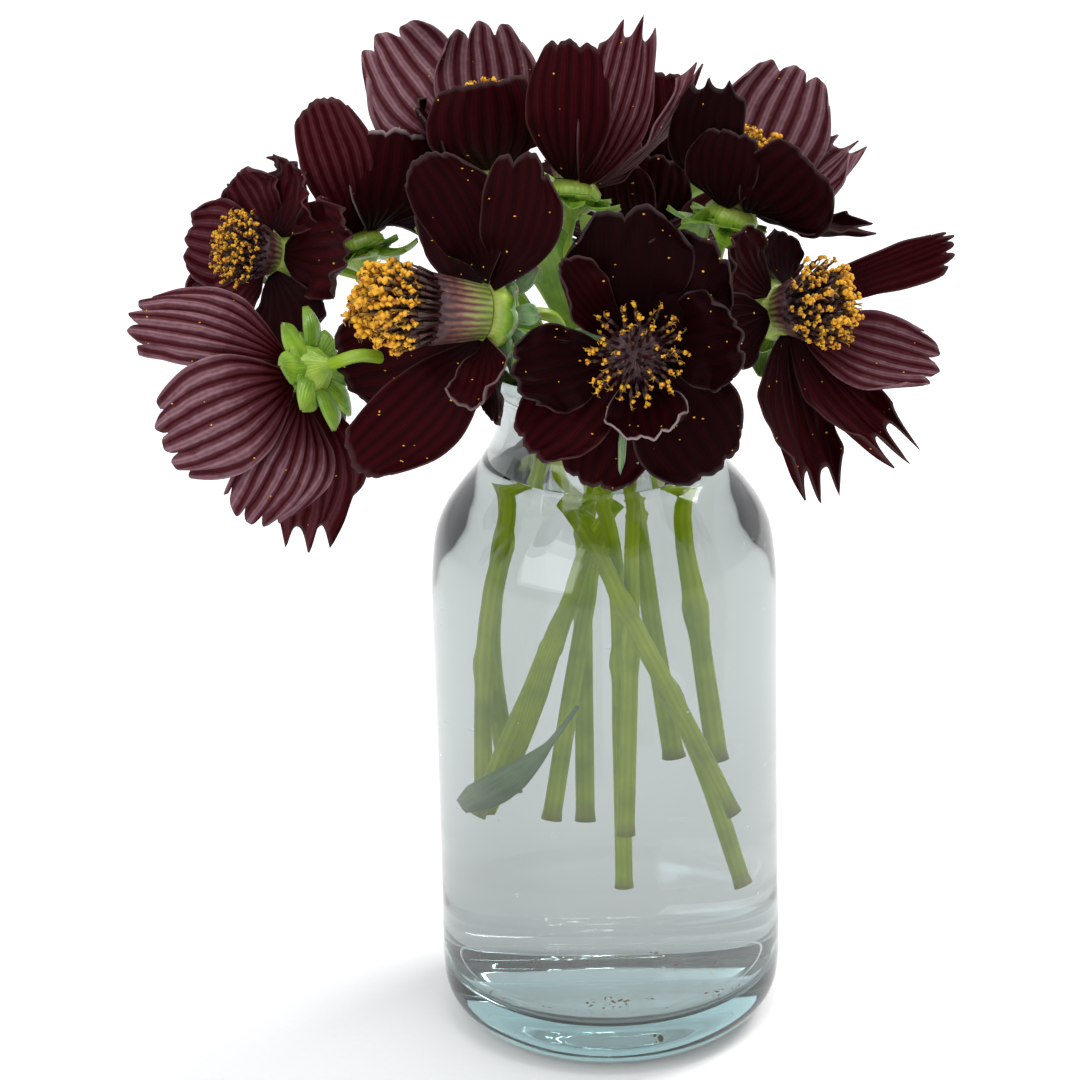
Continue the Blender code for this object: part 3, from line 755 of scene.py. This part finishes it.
def speck_tree():
    """Grains of pollen scattered over a surface."""
    tree, into, out = geometry_tree("Pollen specks", [
        ("Density", "NodeSocketFloat", 1000.0), ("Size", "NodeSocketFloat", 0.00016), ("Seed", "NodeSocketInt", 1),
        ("Material", "NodeSocketMaterial", None)])
    spread = put(tree, "GeometryNodeDistributePointsOnFaces", {
        "Mesh": into.outputs["Geometry"], "Density": into.outputs["Density"], "Seed": into.outputs["Seed"]})
    grain = put(tree, "GeometryNodeMeshIcoSphere", {"Radius": into.outputs["Size"]}, {"Subdivisions": 1})
    size = put(tree, "FunctionNodeRandomValue", {"Seed": into.outputs["Seed"]}, data_type="FLOAT_VECTOR")
    size.inputs["Min"].default_value = (0.5, 0.5, 0.4)
    size.inputs["Max"].default_value = (1.8, 1.3, 0.9)
    put_on = put(tree, "GeometryNodeInstanceOnPoints", {
        "Points": spread.outputs[0], "Instance": grain.outputs[0], "Rotation": spread.outputs["Rotation"],
        "Scale": size.outputs[0]})
    real = put(tree, "GeometryNodeRealizeInstances", {"Geometry": put_on.outputs[0]})
    dressed = put(tree, "GeometryNodeSetMaterial", {"Geometry": real.outputs[0], "Material": into.outputs["Material"]})
    tree.links.new(dressed.outputs[0], out.inputs[0])
    return tree


def grown(name, tree, values, base=None):
    """An object grown by a geometry tree, turned into a plain mesh."""
    mesh = base.copy() if base else bpy.data.meshes.new(name)
    made = bpy.data.objects.new(name, mesh)
    bpy.context.collection.objects.link(made)
    grow = made.modifiers.new("grow", "NODES")
    grow.node_group = tree
    for item in tree.interface.items_tree:
        if item.in_out == "INPUT" and item.name in values:
            grow[item.identifier] = values[item.name]
    return applied(made)


def make_disc(name, flower, settings, looks, tree, kinds):
    """The disc of florets over a striped collar of chaff."""
    at, faces_to, rim, (collar, height, wide), buds, _ = flower
    place = pose(at, facing(*faces_to))
    rng = np.random.default_rng(300 + list(FLOWERS).index(name))
    rings, turns = [
        (0.4, rim - 1.2), (collar * 0.3 + 0.3, rim - 0.9), (collar * 0.8, rim - 0.2), (collar + 0.8, rim + 0.2),
        (collar + 1.6, rim * 0.8), (collar + 2.0, rim * 0.4), (collar + 2.1, 0.02)], 72
    points, faces, uv = [], [], []
    for row, (h, r) in enumerate(rings):
        for k in range(turns + 1):
            a = 2 * math.pi * k / turns
            flute = 1 + (0.05 * math.cos(26 * a) if 0 < row < 4 else 0)
            points.append((r * flute * math.cos(a), r * flute * math.sin(a), h))
            uv.append((k / turns, min(1.0, h / max(collar, 0.1))))
    faces = grid_faces(len(rings), turns + 1)
    base = mesh_object(name + "_collar", points, faces, looks["collar"], uv)
    base.data.transform(place)
    tidy(base)
    hand_over(base, "disc", *cad_nodes(name, "disc"))
    long = (height - collar - 1.0) / 7.2
    foot = rim - 0.2
    lean = foot / math.tan(math.asin(min(0.8, max(0.15, (wide - foot) / (7.2 * long)))))
    florets = grown(name + "_florets", tree, {
        "Count": FLORETS.get(name, settings.florets), "Foot radius": foot * MM, "Foot height": (collar + 1.6) * MM,
        "Dome": 0.0016, "Lean": lean * MM, "Scale": max(0.62, long), "Buds": buds,
        "Taper": TAPERS.get(name, 0.12), "Most pollen": 3 if name == "front" else 5,
        "Seed": int(rng.integers(1, 9999)), "Florets": kinds, "Material": looks["floret"]})
    florets.data.transform(place)
    florets.data.shade_smooth()
    hand_over(florets, "disc")


def make_calyx(name, flower, look):
    """The green cup under the flower, its inner bracts drawn as ribs."""
    at, faces_to, rim, _, _, _ = flower
    place = pose(at, facing(*faces_to))
    profile = [(0.2, rim - 1.0), (-0.6, rim - 0.5), (-1.4, rim), (-2.6, rim * 0.98), (-3.8, rim * 0.84),
               (-4.9, rim * 0.62), (-5.9, 2.0), (-6.6, 1.35), (-7.0, 0.9)]
    turns, points, uv = 64, [], []
    for row, (h, r) in enumerate(profile):
        for k in range(turns + 1):
            a = 2 * math.pi * k / turns
            rib = 1 + 0.055 * abs(math.cos(4 * a)) * math.sin(math.pi * row / (len(profile) - 1))
            points.append((r * rib * math.cos(a), r * rib * math.sin(a), h))
            uv.append((k / turns * 4 % 1.0, 1 - row / (len(profile) - 1)))
    faces = grid_faces(len(profile), turns + 1)
    faces.append(tuple(range(turns)))
    made = mesh_object(name + "_calyx_cup", points, faces, look, uv)
    made.data.transform(place)
    tidy(made)
    hand_over(made, "calyx", *cad_nodes(name, "calyx"))


def make_bracts(name, flower, look, thickness):
    """Eight narrow outer bracts turned down from under the calyx, and eight broad inner ones under the petals."""
    at, faces_to, rim, _, _, _ = flower
    out, right, up = facing(*faces_to)
    rng = np.random.default_rng(500 + list(FLOWERS).index(name))
    points, faces, uv = [], [], []

    def leaf(foot, opening, turn, length, width, bow, sharp):
        t0, o = math.radians(turn), math.radians(opening)
        away = up * math.cos(t0) + right * math.sin(t0)
        side = np.cross(out, away)
        chord = out * math.cos(o) + away * math.sin(o)
        inner = np.cross(chord, side)
        rows, cols = 12, 6
        start = len(points)
        for i in range(rows + 1):
            s = i / rows
            half = 0.5 * width * (0.45 * (1 - s) + math.sin(math.pi * min(1, s / 1.06 + 0.04)) ** sharp) + 0.04
            for j in range(cols + 1):
                t = 2 * j / cols - 1
                lift = 0.22 * width * t * t * (1 - 0.5 * s) + 0.9 * math.sin(4 * s + turn) * s * t * 0.4
                spot = foot + away * (rim * 0.75) + chord * length * s - inner * bow * 4 * s * (1 - s)
                points.append(spot + side * half * t + inner * lift)
                uv.append((j / cols, s))
        faces.extend(grid_faces(rows + 1, cols + 1, start))

    low = np.array(at, float) + out * (-4.0)
    long, broad, opening = BRACTS.get(name, BRACTS["other"])
    for k in range(8):
        leaf(low, opening + rng.uniform(-12, 6), 22.5 + 45 * k + rng.uniform(-6, 6), long * rng.uniform(0.8, 1.1),
             broad, rng.uniform(-1.0, 1.6), 0.9)
    for k in range(8):
        leaf(np.array(at, float) + out * (-2.8), 96 + rng.uniform(-6, 6), 45 * k, 3.6 * rng.uniform(0.9, 1.15), 4.2, 0.5, 0.7)
    made = mesh_object(name + "_bract_ring", np.array(points), faces, look, uv)
    thick = made.modifiers.new("thickness", "SOLIDIFY")
    thick.thickness = thickness
    thick.offset = 0
    applied(made)
    hand_over(made, "calyx")


# ---------------------------------------------------------------- stems


def smooth_path(knots, steps):
    """A curve through the knots, Catmull-Rom, in equal steps of each span."""
    knots = np.array(knots, float)
    ends = np.vstack([2 * knots[0] - knots[1], knots, 2 * knots[-1] - knots[-2]])
    made = []
    for i in range(1, len(ends) - 2):
        a, b, c, d = ends[i - 1:i + 3]
        span = [np.linalg.norm(b - a) ** 0.5, np.linalg.norm(c - b) ** 0.5, np.linalg.norm(d - c) ** 0.5]
        m1 = (b - a) / span[0] - (c - a) / (span[0] + span[1]) + (c - b) / span[1]
        m2 = (c - b) / span[1] - (d - b) / (span[1] + span[2]) + (d - c) / span[2]
        m1, m2 = m1 * span[1], m2 * span[1]
        for s in np.arange(steps) / steps:
            made.append((2 * s**3 - 3 * s**2 + 1) * b + (s**3 - 2 * s**2 + s) * m1
                        + (-2 * s**3 + 3 * s**2) * c + (s**3 - s**2) * m2)
    made.append(knots[-1])
    return np.array(made)


def sweep(name, path, radii, sides, look, flatten=None):
    """A closed tube along the path, with a radius at each step."""
    path = np.asarray(path, float)
    ahead = np.gradient(path, axis=0)
    ahead /= np.linalg.norm(ahead, axis=1)[:, None]
    across = np.cross(ahead[0], [0.3, 1, 0.1])
    points, uv = [], []
    for i, (spot, heading) in enumerate(zip(path, ahead)):
        across = across - heading * np.dot(across, heading)
        across /= np.linalg.norm(across)
        other = np.cross(heading, across)
        for k in range(sides + 1):
            a = 2 * math.pi * k / sides
            points.append(spot + radii[i] * (across * math.cos(a) + other * math.sin(a) * (flatten[i] if flatten else 1)))
            uv.append((k / sides, i / (len(path) - 1)))
    faces = grid_faces(len(path), sides + 1)
    faces.append(tuple(range(sides)))
    faces.append(tuple(len(path) * (sides + 1) - 2 - k for k in range(sides)))
    made = mesh_object(name, points, faces, look, uv)
    tidy(made)
    return made


def make_stem(name, radius, look):
    at, faces_to = FLOWERS[name][:2]
    out = facing(*faces_to)[0]
    foot = np.array(at, float) - out * 6.6
    path = smooth_path([*STEMS[name], foot - out * 6, foot], 18)
    rng = np.random.default_rng(700 + list(FLOWERS).index(name))
    steps = np.linspace(0, 1, len(path))
    radii = radius / MM * (1 + 0.05 * np.sin(steps * 9 + rng.uniform(0, 6))) * (1.06 - 0.14 * steps)
    node = rng.uniform(0.12, 0.3)
    radii = radii * (1 + 0.35 * np.exp(-((steps - node) / 0.012) ** 2))
    radii[0] *= 1.12
    made = sweep(name + "_stalk", path, radii, 14, look)
    hand_over(made, "stem", *cad_nodes(name, "stem"))


def make_leaf(look, pale_look, sprig_look, waxy_look):
    """The flattened leaf and the thread-like leaflets that stand in the water among the stems."""
    def ribbon(name, knots, widths, across_dir, look, slot, fold=0.35):
        path = smooth_path(knots, 10)
        wide = np.interp(np.linspace(0, 1, len(path)), np.linspace(0, 1, len(widths)), widths)
        ahead = np.gradient(path, axis=0)
        ahead /= np.linalg.norm(ahead, axis=1)[:, None]
        points, uv, cols = [], [], 6
        for i, spot in enumerate(path):
            side = np.array(across_dir, float)
            side -= ahead[i] * side.dot(ahead[i])
            side /= np.linalg.norm(side)
            back = np.cross(ahead[i], side)
            for j in range(cols + 1):
                t = 2 * j / cols - 1
                points.append(spot + side * wide[i] * t + back * abs(t) ** 1.5 * wide[i] * fold)
                uv.append((j / cols, i / (len(path) - 1)))
        made = mesh_object(name, points, grid_faces(len(path), cols + 1), look, uv)
        thick = made.modifiers.new("thickness", "SOLIDIFY")
        thick.thickness = 0.00035
        thick.offset = 0
        applied(made)
        hand_over(made, slot)

    ribbon("broad_leaf", [(-24, -7.5, 47), (-17, -11, 53.5), (-10, -13, 62.5), (-4.5, -14, 72)],
           [1.6, 3.0, 3.1, 2.7, 1.7, 0.6, 0.35, 0.3], (0.6, 0.1, -0.8), look, "calyx")
    for n, x in enumerate((4.6, 11.0)):
        ribbon(f"hanging_bract_{n}", [(x + 1.2, -37, 140), (x + 0.8, -41.5, 136), (x, -43.5, 130), (x - 0.8, -44, 125.5)],
               [1.2, 2.0, 2.2, 1.6, 0.3], (1, 0.1, 0), waxy_look, "calyx", 0.4)
    for n, (knots, widths, across_dir) in enumerate(FOLIAGE):
        ribbon(f"sprig_{n}", knots, widths, across_dir, sprig_look, "calyx", 0.25)
    ribbon("pale_leaf", [(-17, -3, 45), (-12.5, -4, 62), (-8, -5, 80), (-3, -6, 96)],
           [0.4, 1.6, 2.0, 1.5, 0.4], (1, 0.2, -0.4), pale_look, "stem", 0.2)


# ---------------------------------------------------------------- bottle


def lathe(name, profile, turns, look):
    """A closed solid turned from a profile of (radius, height) that starts and ends on the axis."""
    points, faces = [], []
    for r, z in profile:
        for k in range(turns):
            a = 2 * math.pi * k / turns
            points.append((r * math.cos(a), r * math.sin(a), z))
    faces = grid_faces(len(profile), turns, 0, True)
    made = mesh_object(name, points, faces, look)
    tidy(made)
    return made


def rounded(profile, steps):
    """The profile with its corners eased: a smooth curve through the points."""
    return [tuple(p) for p in smooth_path([(r, z, 0) for r, z in profile], steps)[:, :2]]


def glass_material(settings):
    made, tree, shader = new_material("bottle glass")
    place = put(tree, "ShaderNodeTexCoord").outputs["Object"]
    wave = use(tree, "Mottle", {"Vector": place}, {"Scale": 22.0, "Detail": 1.0})
    tree.links.new(bump(tree, wave, 0.10, 0.004), shader.inputs["Normal"])
    shader.inputs["Base Color"].default_value = (0.985, 0.995, 0.995, 1)
    shader.inputs["Roughness"].default_value = 0.0
    shader.inputs["IOR"].default_value = 1.50
    shader.inputs["Transmission Weight"].default_value = 1.0
    depth = put(tree, "ShaderNodeVolumeAbsorption", None, {"Color": (*settings.tint, 1), "Density": 13.0})
    tree.links.new(depth.outputs[0], tree.nodes["Material Output"].inputs["Volume"])
    return made


def water_material():
    made, tree, shader = new_material("water")
    place = put(tree, "ShaderNodeTexCoord").outputs["Object"]
    wave = use(tree, "Mottle", {"Vector": place}, {"Scale": 35.0, "Detail": 1.0})
    tree.links.new(bump(tree, wave, 0.04, 0.003), shader.inputs["Normal"])
    shader.inputs["Base Color"].default_value = (0.99, 0.995, 0.99, 1)
    shader.inputs["Roughness"].default_value = 0.0
    shader.inputs["IOR"].default_value = 1.333
    shader.inputs["Transmission Weight"].default_value = 1.0
    depth = put(tree, "ShaderNodeVolumeAbsorption", None, {"Color": (0.62, 0.66, 0.66, 1), "Density": 5.0})
    tree.links.new(depth.outputs[0], tree.nodes["Material Output"].inputs["Volume"])
    return made


def make_bottle(settings, looks):
    outside = rounded(OUTSIDE, 4)
    inside = rounded(INSIDE, 4)
    # The foot is pushed up a little in the middle, and its floor domes up inside.
    foot = [(0.0, 2.4), (8.0, 2.2), (15.0, 1.5), (20.0, 0.35), (22.2, 0.0)]
    floor = [(17.0, 9.3), (11.0, 10.1), (5.0, 10.6), (0.0, 10.7)]
    bottle = lathe("glass_bottle", foot + outside + inside + floor, settings.turns, looks["glass"])
    hand_over(bottle, "glass", "bottle")

    top, bite = settings.water_top / MM, 0.04
    wet = [(r + bite, z) for r, z in inside if z < top - 1.2]
    edge = float(np.interp(top, [z for _, z in reversed(inside)], [r for r, _ in reversed(inside)]))
    meniscus = [(0.0, top), (edge - 3.0, top), (edge - 1.5, top + 0.12), (edge - 0.6, top + 0.45), (edge + bite, top + 1.0)]
    low = [(r, z - bite) for r, z in floor]
    water = lathe("water_fill", meniscus + wet + low, settings.turns, looks["water"])
    hand_over(water, "water", "water")


def make_residue(look, bubble_look):
    """Crumbs of pollen on the bottle's floor, and small bubbles clinging under the water's surface."""
    rng = np.random.default_rng(41)

    def blobs(name, spots, sizes, squash, look, slot):
        points, faces = [], []
        for spot, size in zip(spots, sizes):
            start = len(points)
            rings, sides = 5, 7
            for i in range(rings):
                v = math.pi * (i + 0.5) / rings
                for k in range(sides):
                    a = 2 * math.pi * k / sides + rng.uniform(-0.2, 0.2)
                    r = size * math.sin(v) * rng.uniform(0.8, 1.2)
                    points.append((spot[0] + r * math.cos(a), spot[1] + r * math.sin(a),
                                   spot[2] + squash * size * math.cos(v)))
            faces.extend(grid_faces(rings, sides, start, True))
            faces.append(tuple(range(start, start + sides)))
            faces.append(tuple(reversed(range(len(points) - sides, len(points)))))
        made = mesh_object(name, points, faces, look)
        tidy(made)
        hand_over(made, slot)

    spots, sizes = [], []
    for cx, cy, count, spread in ((0, -16, 22, 2.6), (18, -12, 12, 2.2), (-10, 4, 8, 4.0), (6, 10, 8, 7.0)):
        for _ in range(count):
            x, y = cx + rng.normal(0, spread), cy + rng.normal(0, spread * 0.6)
            r = math.hypot(x, y)
            if r < 25:
                spots.append((x, y, 10.7 - 1.5 * (r / 22) ** 2 + 0.35))
                sizes.append(rng.uniform(0.10, 0.34))
    blobs("pollen_crumbs", spots, sizes, 0.6, look, "disc")

    spots, sizes = [], []
    for _ in range(38):
        a, z = rng.uniform(0, 2 * math.pi), rng.uniform(14, 100)
        spots.append((29.6 * math.cos(a), 29.6 * math.sin(a), z) if z < 88 else (26.5 * math.cos(a), 26.5 * math.sin(a), 100))
        sizes.append(rng.uniform(0.12, 0.34))
    blobs("bubbles", spots, sizes, 1.0, bubble_look, "water")


# ---------------------------------------------------------------- stage


class CosmosStage(bpy.types.PropertyGroup):
    distance: FloatProperty(
        name="Camera distance", description="From the camera to the middle of the bunch", default=0.8025,
        subtype="DISTANCE", unit="LENGTH")
    elevation: FloatProperty(
        name="Camera elevation", description="Height of the camera above level", default=math.radians(25),
        subtype="ANGLE", unit="ROTATION")
    lens: FloatProperty(
        name="Lens", description="Focal length in millimetres", default=140.0, subtype="DISTANCE_CAMERA", unit="CAMERA")
    power: FloatProperty(name="Key light", description="Power of the soft key light in watts", default=6.0, min=0)


def soft_light(name, place, aim, size, power, colour):
    data = bpy.data.lights.new(name, "AREA")
    data.shape, data.size, data.size_y = "RECTANGLE", size[0], size[1]
    data.energy, data.color = power, colour
    made = bpy.data.objects.new(name, data)
    made.location = place
    made.rotation_euler = (Vector(aim) - Vector(place)).to_track_quat("-Z", "Y").to_euler()
    bpy.context.collection.objects.link(made)
    return made


def make_world():
    world = bpy.data.worlds.new("studio")
    bpy.context.scene.world = world
    world.use_nodes = True
    tree = world.node_tree
    rays = put(tree, "ShaderNodeLightPath")
    ground = tree.nodes["Background"]
    # Painted shade: the world seen through the glass and water is grey, darker than the light it gives elsewhere.
    light = blend(tree, rays.outputs["Is Transmission Ray"], (0.90, 0.91, 0.93), (0.50, 0.515, 0.51))
    tree.links.new(blend(tree, rays.outputs["Is Camera Ray"], light, (1.0, 1.0, 1.0)), ground.inputs["Color"])
    ground.inputs["Strength"].default_value = 1.0


def make_floor():
    mesh = bpy.data.meshes.new("floor")
    wide = 14.0
    mesh.from_pydata([(-wide, -wide, 0), (wide, -wide, 0), (wide, wide, 0), (-wide, wide, 0)], [], [(0, 1, 2, 3)])
    made, tree, shader = new_material("pale floor")
    place = put(tree, "ShaderNodeTexCoord").outputs["Object"]
    grain = use(tree, "Mottle", {"Vector": place}, {"Scale": 900.0, "Detail": 2.0})
    colour = ramp(tree, grain, [(0.3, (0.945, 0.945, 0.945)), (0.7, (0.965, 0.965, 0.965))])
    # Painted shade: the floor seen through the glass is painted greyer than the floor beside it, for the grey room that
    # the bottle stood before.
    through = put(tree, "ShaderNodeLightPath").outputs["Is Transmission Ray"]
    tree.links.new(blend(tree, through, colour, (0.42, 0.43, 0.425)), shader.inputs["Base Color"])
    shader.inputs["Roughness"].default_value = 0.75
    shader.inputs["Specular IOR Level"].default_value = 0.1
    mesh.materials.append(made)
    floor = bpy.data.objects.new("floor", mesh)
    bpy.context.collection.objects.link(floor)


def make_camera(settings):
    data = bpy.data.cameras.new("camera")
    data.lens, data.sensor_width = settings.lens, 36.0
    data.clip_start, data.clip_end = 0.05, 20
    made = bpy.data.objects.new("camera", data)
    bpy.context.collection.objects.link(made)
    right = Vector((0.99971, 0.00668, -0.02326))
    ahead = Vector((0.01892, 0.38322, 0.92346))
    made.location = (0.0, -0.72731, 0.39915)
    back = Vector((0.01508, -0.92363, 0.38298))
    made.rotation_euler = Matrix((right, ahead, back)).transposed().to_euler()
    bpy.context.scene.camera = made


# ---------------------------------------------------------------- operators


class COSMOS_OT_petals(bpy.types.Operator):
    """Build every flower's petals"""
    bl_idname = "cosmos.petals"
    bl_label = "Petals"

    def execute(self, context):
        settings = context.scene.cosmos_petals
        look = petal_material(settings)
        for name, flower in FLOWERS.items():
            make_corolla(name, flower, settings, look)
        return {"FINISHED"}


class COSMOS_OT_discs(bpy.types.Operator):
    """Build every flower's disc of florets, and the pollen that has fallen on the petals"""
    bl_idname = "cosmos.discs"
    bl_label = "Discs and pollen"

    def execute(self, context):
        settings = context.scene.cosmos_discs
        looks = {"floret": floret_material(settings), "collar": collar_material()}
        rng = np.random.default_rng(7)
        kinds = bpy.data.collections.new("floret kinds")
        for n, kind in enumerate(("bud", "bare", "some", "full", "full", "full")):
            made = floret_variant(f"floret_{n}", kind, rng)
            context.collection.objects.unlink(made)
            kinds.objects.link(made)
        tree = disc_tree()
        for name, flower in FLOWERS.items():
            make_disc(name, flower, settings, looks, tree, kinds)
        specks = speck_tree()
        for name in FLOWERS:
            base = bpy.data.objects.get(name + "_corolla")
            if base is None:
                raise RuntimeError("build the petals first")
            density = context.scene.cosmos_petals.specks * (1.0 if name in ("front", "left_front", "right_front") else 0.35)
            made = grown(name + "_pollen", specks, {
                "Density": density, "Size": 0.00017, "Seed": 11 + list(FLOWERS).index(name),
                "Material": looks["floret"]}, base.data)
            layer = made.data.attributes.get("pollen") or made.data.attributes.new("pollen", "FLOAT", "POINT")
            layer.data.foreach_set("value", np.ones(len(made.data.vertices), np.float32))
            hand_over(made, "disc")
        return {"FINISHED"}


class COSMOS_OT_greens(bpy.types.Operator):
    """Build the calyxes, bracts, stems and leaves"""
    bl_idname = "cosmos.greens"
    bl_label = "Calyxes, bracts, stems and leaves"

    def execute(self, context):
        settings = context.scene.cosmos_greens
        cup = green_material("calyx skin", (0.16, 0.30, 0.012), (0.36, 0.50, 0.05), (0.20, 0.16, 0.04), 300.0)
        waxy = green_material("waxy bract skin", tuple(settings.leaf), (0.30, 0.42, 0.22), (0.16, 0.07, 0.07), 350.0)
        lime = green_material("lime bract skin", (0.085, 0.20, 0.008), (0.24, 0.40, 0.03), (0.16, 0.22, 0.02), 250.0)
        leaf = green_material("leaf skin", (0.20, 0.36, 0.13), (0.36, 0.54, 0.27), (0.20, 0.30, 0.12), 160.0)
        stalk = stem_material(settings)
        for name, flower in FLOWERS.items():
            make_calyx(name, flower, cup)
            make_bracts(name, flower, waxy if name in ("front", "left_front") else lime, 0.0003)
            make_stem(name, settings.stem_radius, stalk)
        make_leaf(leaf, stalk, lime, waxy)
        return {"FINISHED"}


class COSMOS_OT_bottle(bpy.types.Operator):
    """Build the glass bottle, its water and what floats and lies in it"""
    bl_idname = "cosmos.bottle"
    bl_label = "Bottle and water"

    def execute(self, context):
        settings = context.scene.cosmos_bottle
        make_bottle(settings, {"glass": glass_material(settings), "water": water_material()})
        crumb, tree, shader = new_material("pollen crumb")
        place = put(tree, "ShaderNodeTexCoord").outputs["Object"]
        grain = use(tree, "Mottle", {"Vector": place}, {"Scale": 900.0})
        tree.links.new(ramp(tree, grain, [(0.3, (0.45, 0.20, 0.05)), (0.7, (0.78, 0.44, 0.12))]), shader.inputs["Base Color"])
        shader.inputs["Roughness"].default_value = 0.8
        bubble, tree, shader = new_material("air bubble")
        shader.inputs["Base Color"].default_value = (1, 1, 1, 1)
        shader.inputs["Roughness"].default_value = 0.05
        # The bubbles glow faintly: a painted glint where they would catch the light.
        shader.inputs["Emission Color"].default_value = (0.85, 0.90, 0.90, 1)
        shader.inputs["Emission Strength"].default_value = 0.45
        make_residue(crumb, bubble)
        return {"FINISHED"}


class COSMOS_OT_stage(bpy.types.Operator):
    """Build the floor, lights, background and camera"""
    bl_idname = "cosmos.stage"
    bl_label = "Stage"

    def execute(self, context):
        settings = context.scene.cosmos_stage
        context.scene.view_settings.view_transform = "Standard"
        make_world()
        make_floor()
        soft_light("key", (0.95, 0.55, 1.35), (0, 0, 0.08), (0.70, 0.70), settings.power * 3.0, (1.0, 0.985, 0.96))
        soft_light("fill", (-0.5, -0.6, 0.45), (0, 0, 0.12), (0.6, 0.6), settings.power * 0.35, (0.95, 0.98, 1.0))
        soft_light("window", (0.05, -0.25, 0.75), (0.0, 0.0, 0.10), (0.16, 0.12), settings.power * 0.12, (1.0, 1.0, 1.0))
        make_camera(settings)
        return {"FINISHED"}


class COSMOS_PT_panel(bpy.types.Panel):
    bl_idname = "COSMOS_PT_panel"
    bl_label = "Cosmos"
    bl_space_type = "VIEW_3D"
    bl_region_type = "UI"
    bl_category = "Cosmos"

    def draw(self, context):
        for settings, operator in (
                ("cosmos_petals", "cosmos.petals"), ("cosmos_discs", "cosmos.discs"), ("cosmos_greens", "cosmos.greens"),
                ("cosmos_bottle", "cosmos.bottle"), ("cosmos_stage", "cosmos.stage")):
            box = self.layout.box()
            group_of = getattr(context.scene, settings)
            for key in group_of.bl_rna.properties.keys():
                if key not in ("rna_type", "name"):
                    box.prop(group_of, key)
            box.operator(operator)


SETTINGS = {
    "cosmos_petals": CosmosPetals, "cosmos_discs": CosmosDiscs, "cosmos_greens": CosmosGreens,
    "cosmos_bottle": CosmosBottle, "cosmos_stage": CosmosStage}
CLASSES = [
    *SETTINGS.values(), COSMOS_OT_petals, COSMOS_OT_discs, COSMOS_OT_greens, COSMOS_OT_bottle, COSMOS_OT_stage,
    COSMOS_PT_panel]


def register():
    for made in CLASSES:
        bpy.utils.register_class(made)
    for key, kind in SETTINGS.items():
        setattr(bpy.types.Scene, key, PointerProperty(type=kind))


def unregister():
    for key in SETTINGS:
        delattr(bpy.types.Scene, key)
    for made in reversed(CLASSES):
        bpy.utils.unregister_class(made)


def main():
    register()
    shared_groups()
    bpy.ops.cosmos.petals()
    bpy.ops.cosmos.discs()
    bpy.ops.cosmos.greens()
    bpy.ops.cosmos.bottle()
    bpy.ops.cosmos.stage()


if __name__ == "__main__":
    main()
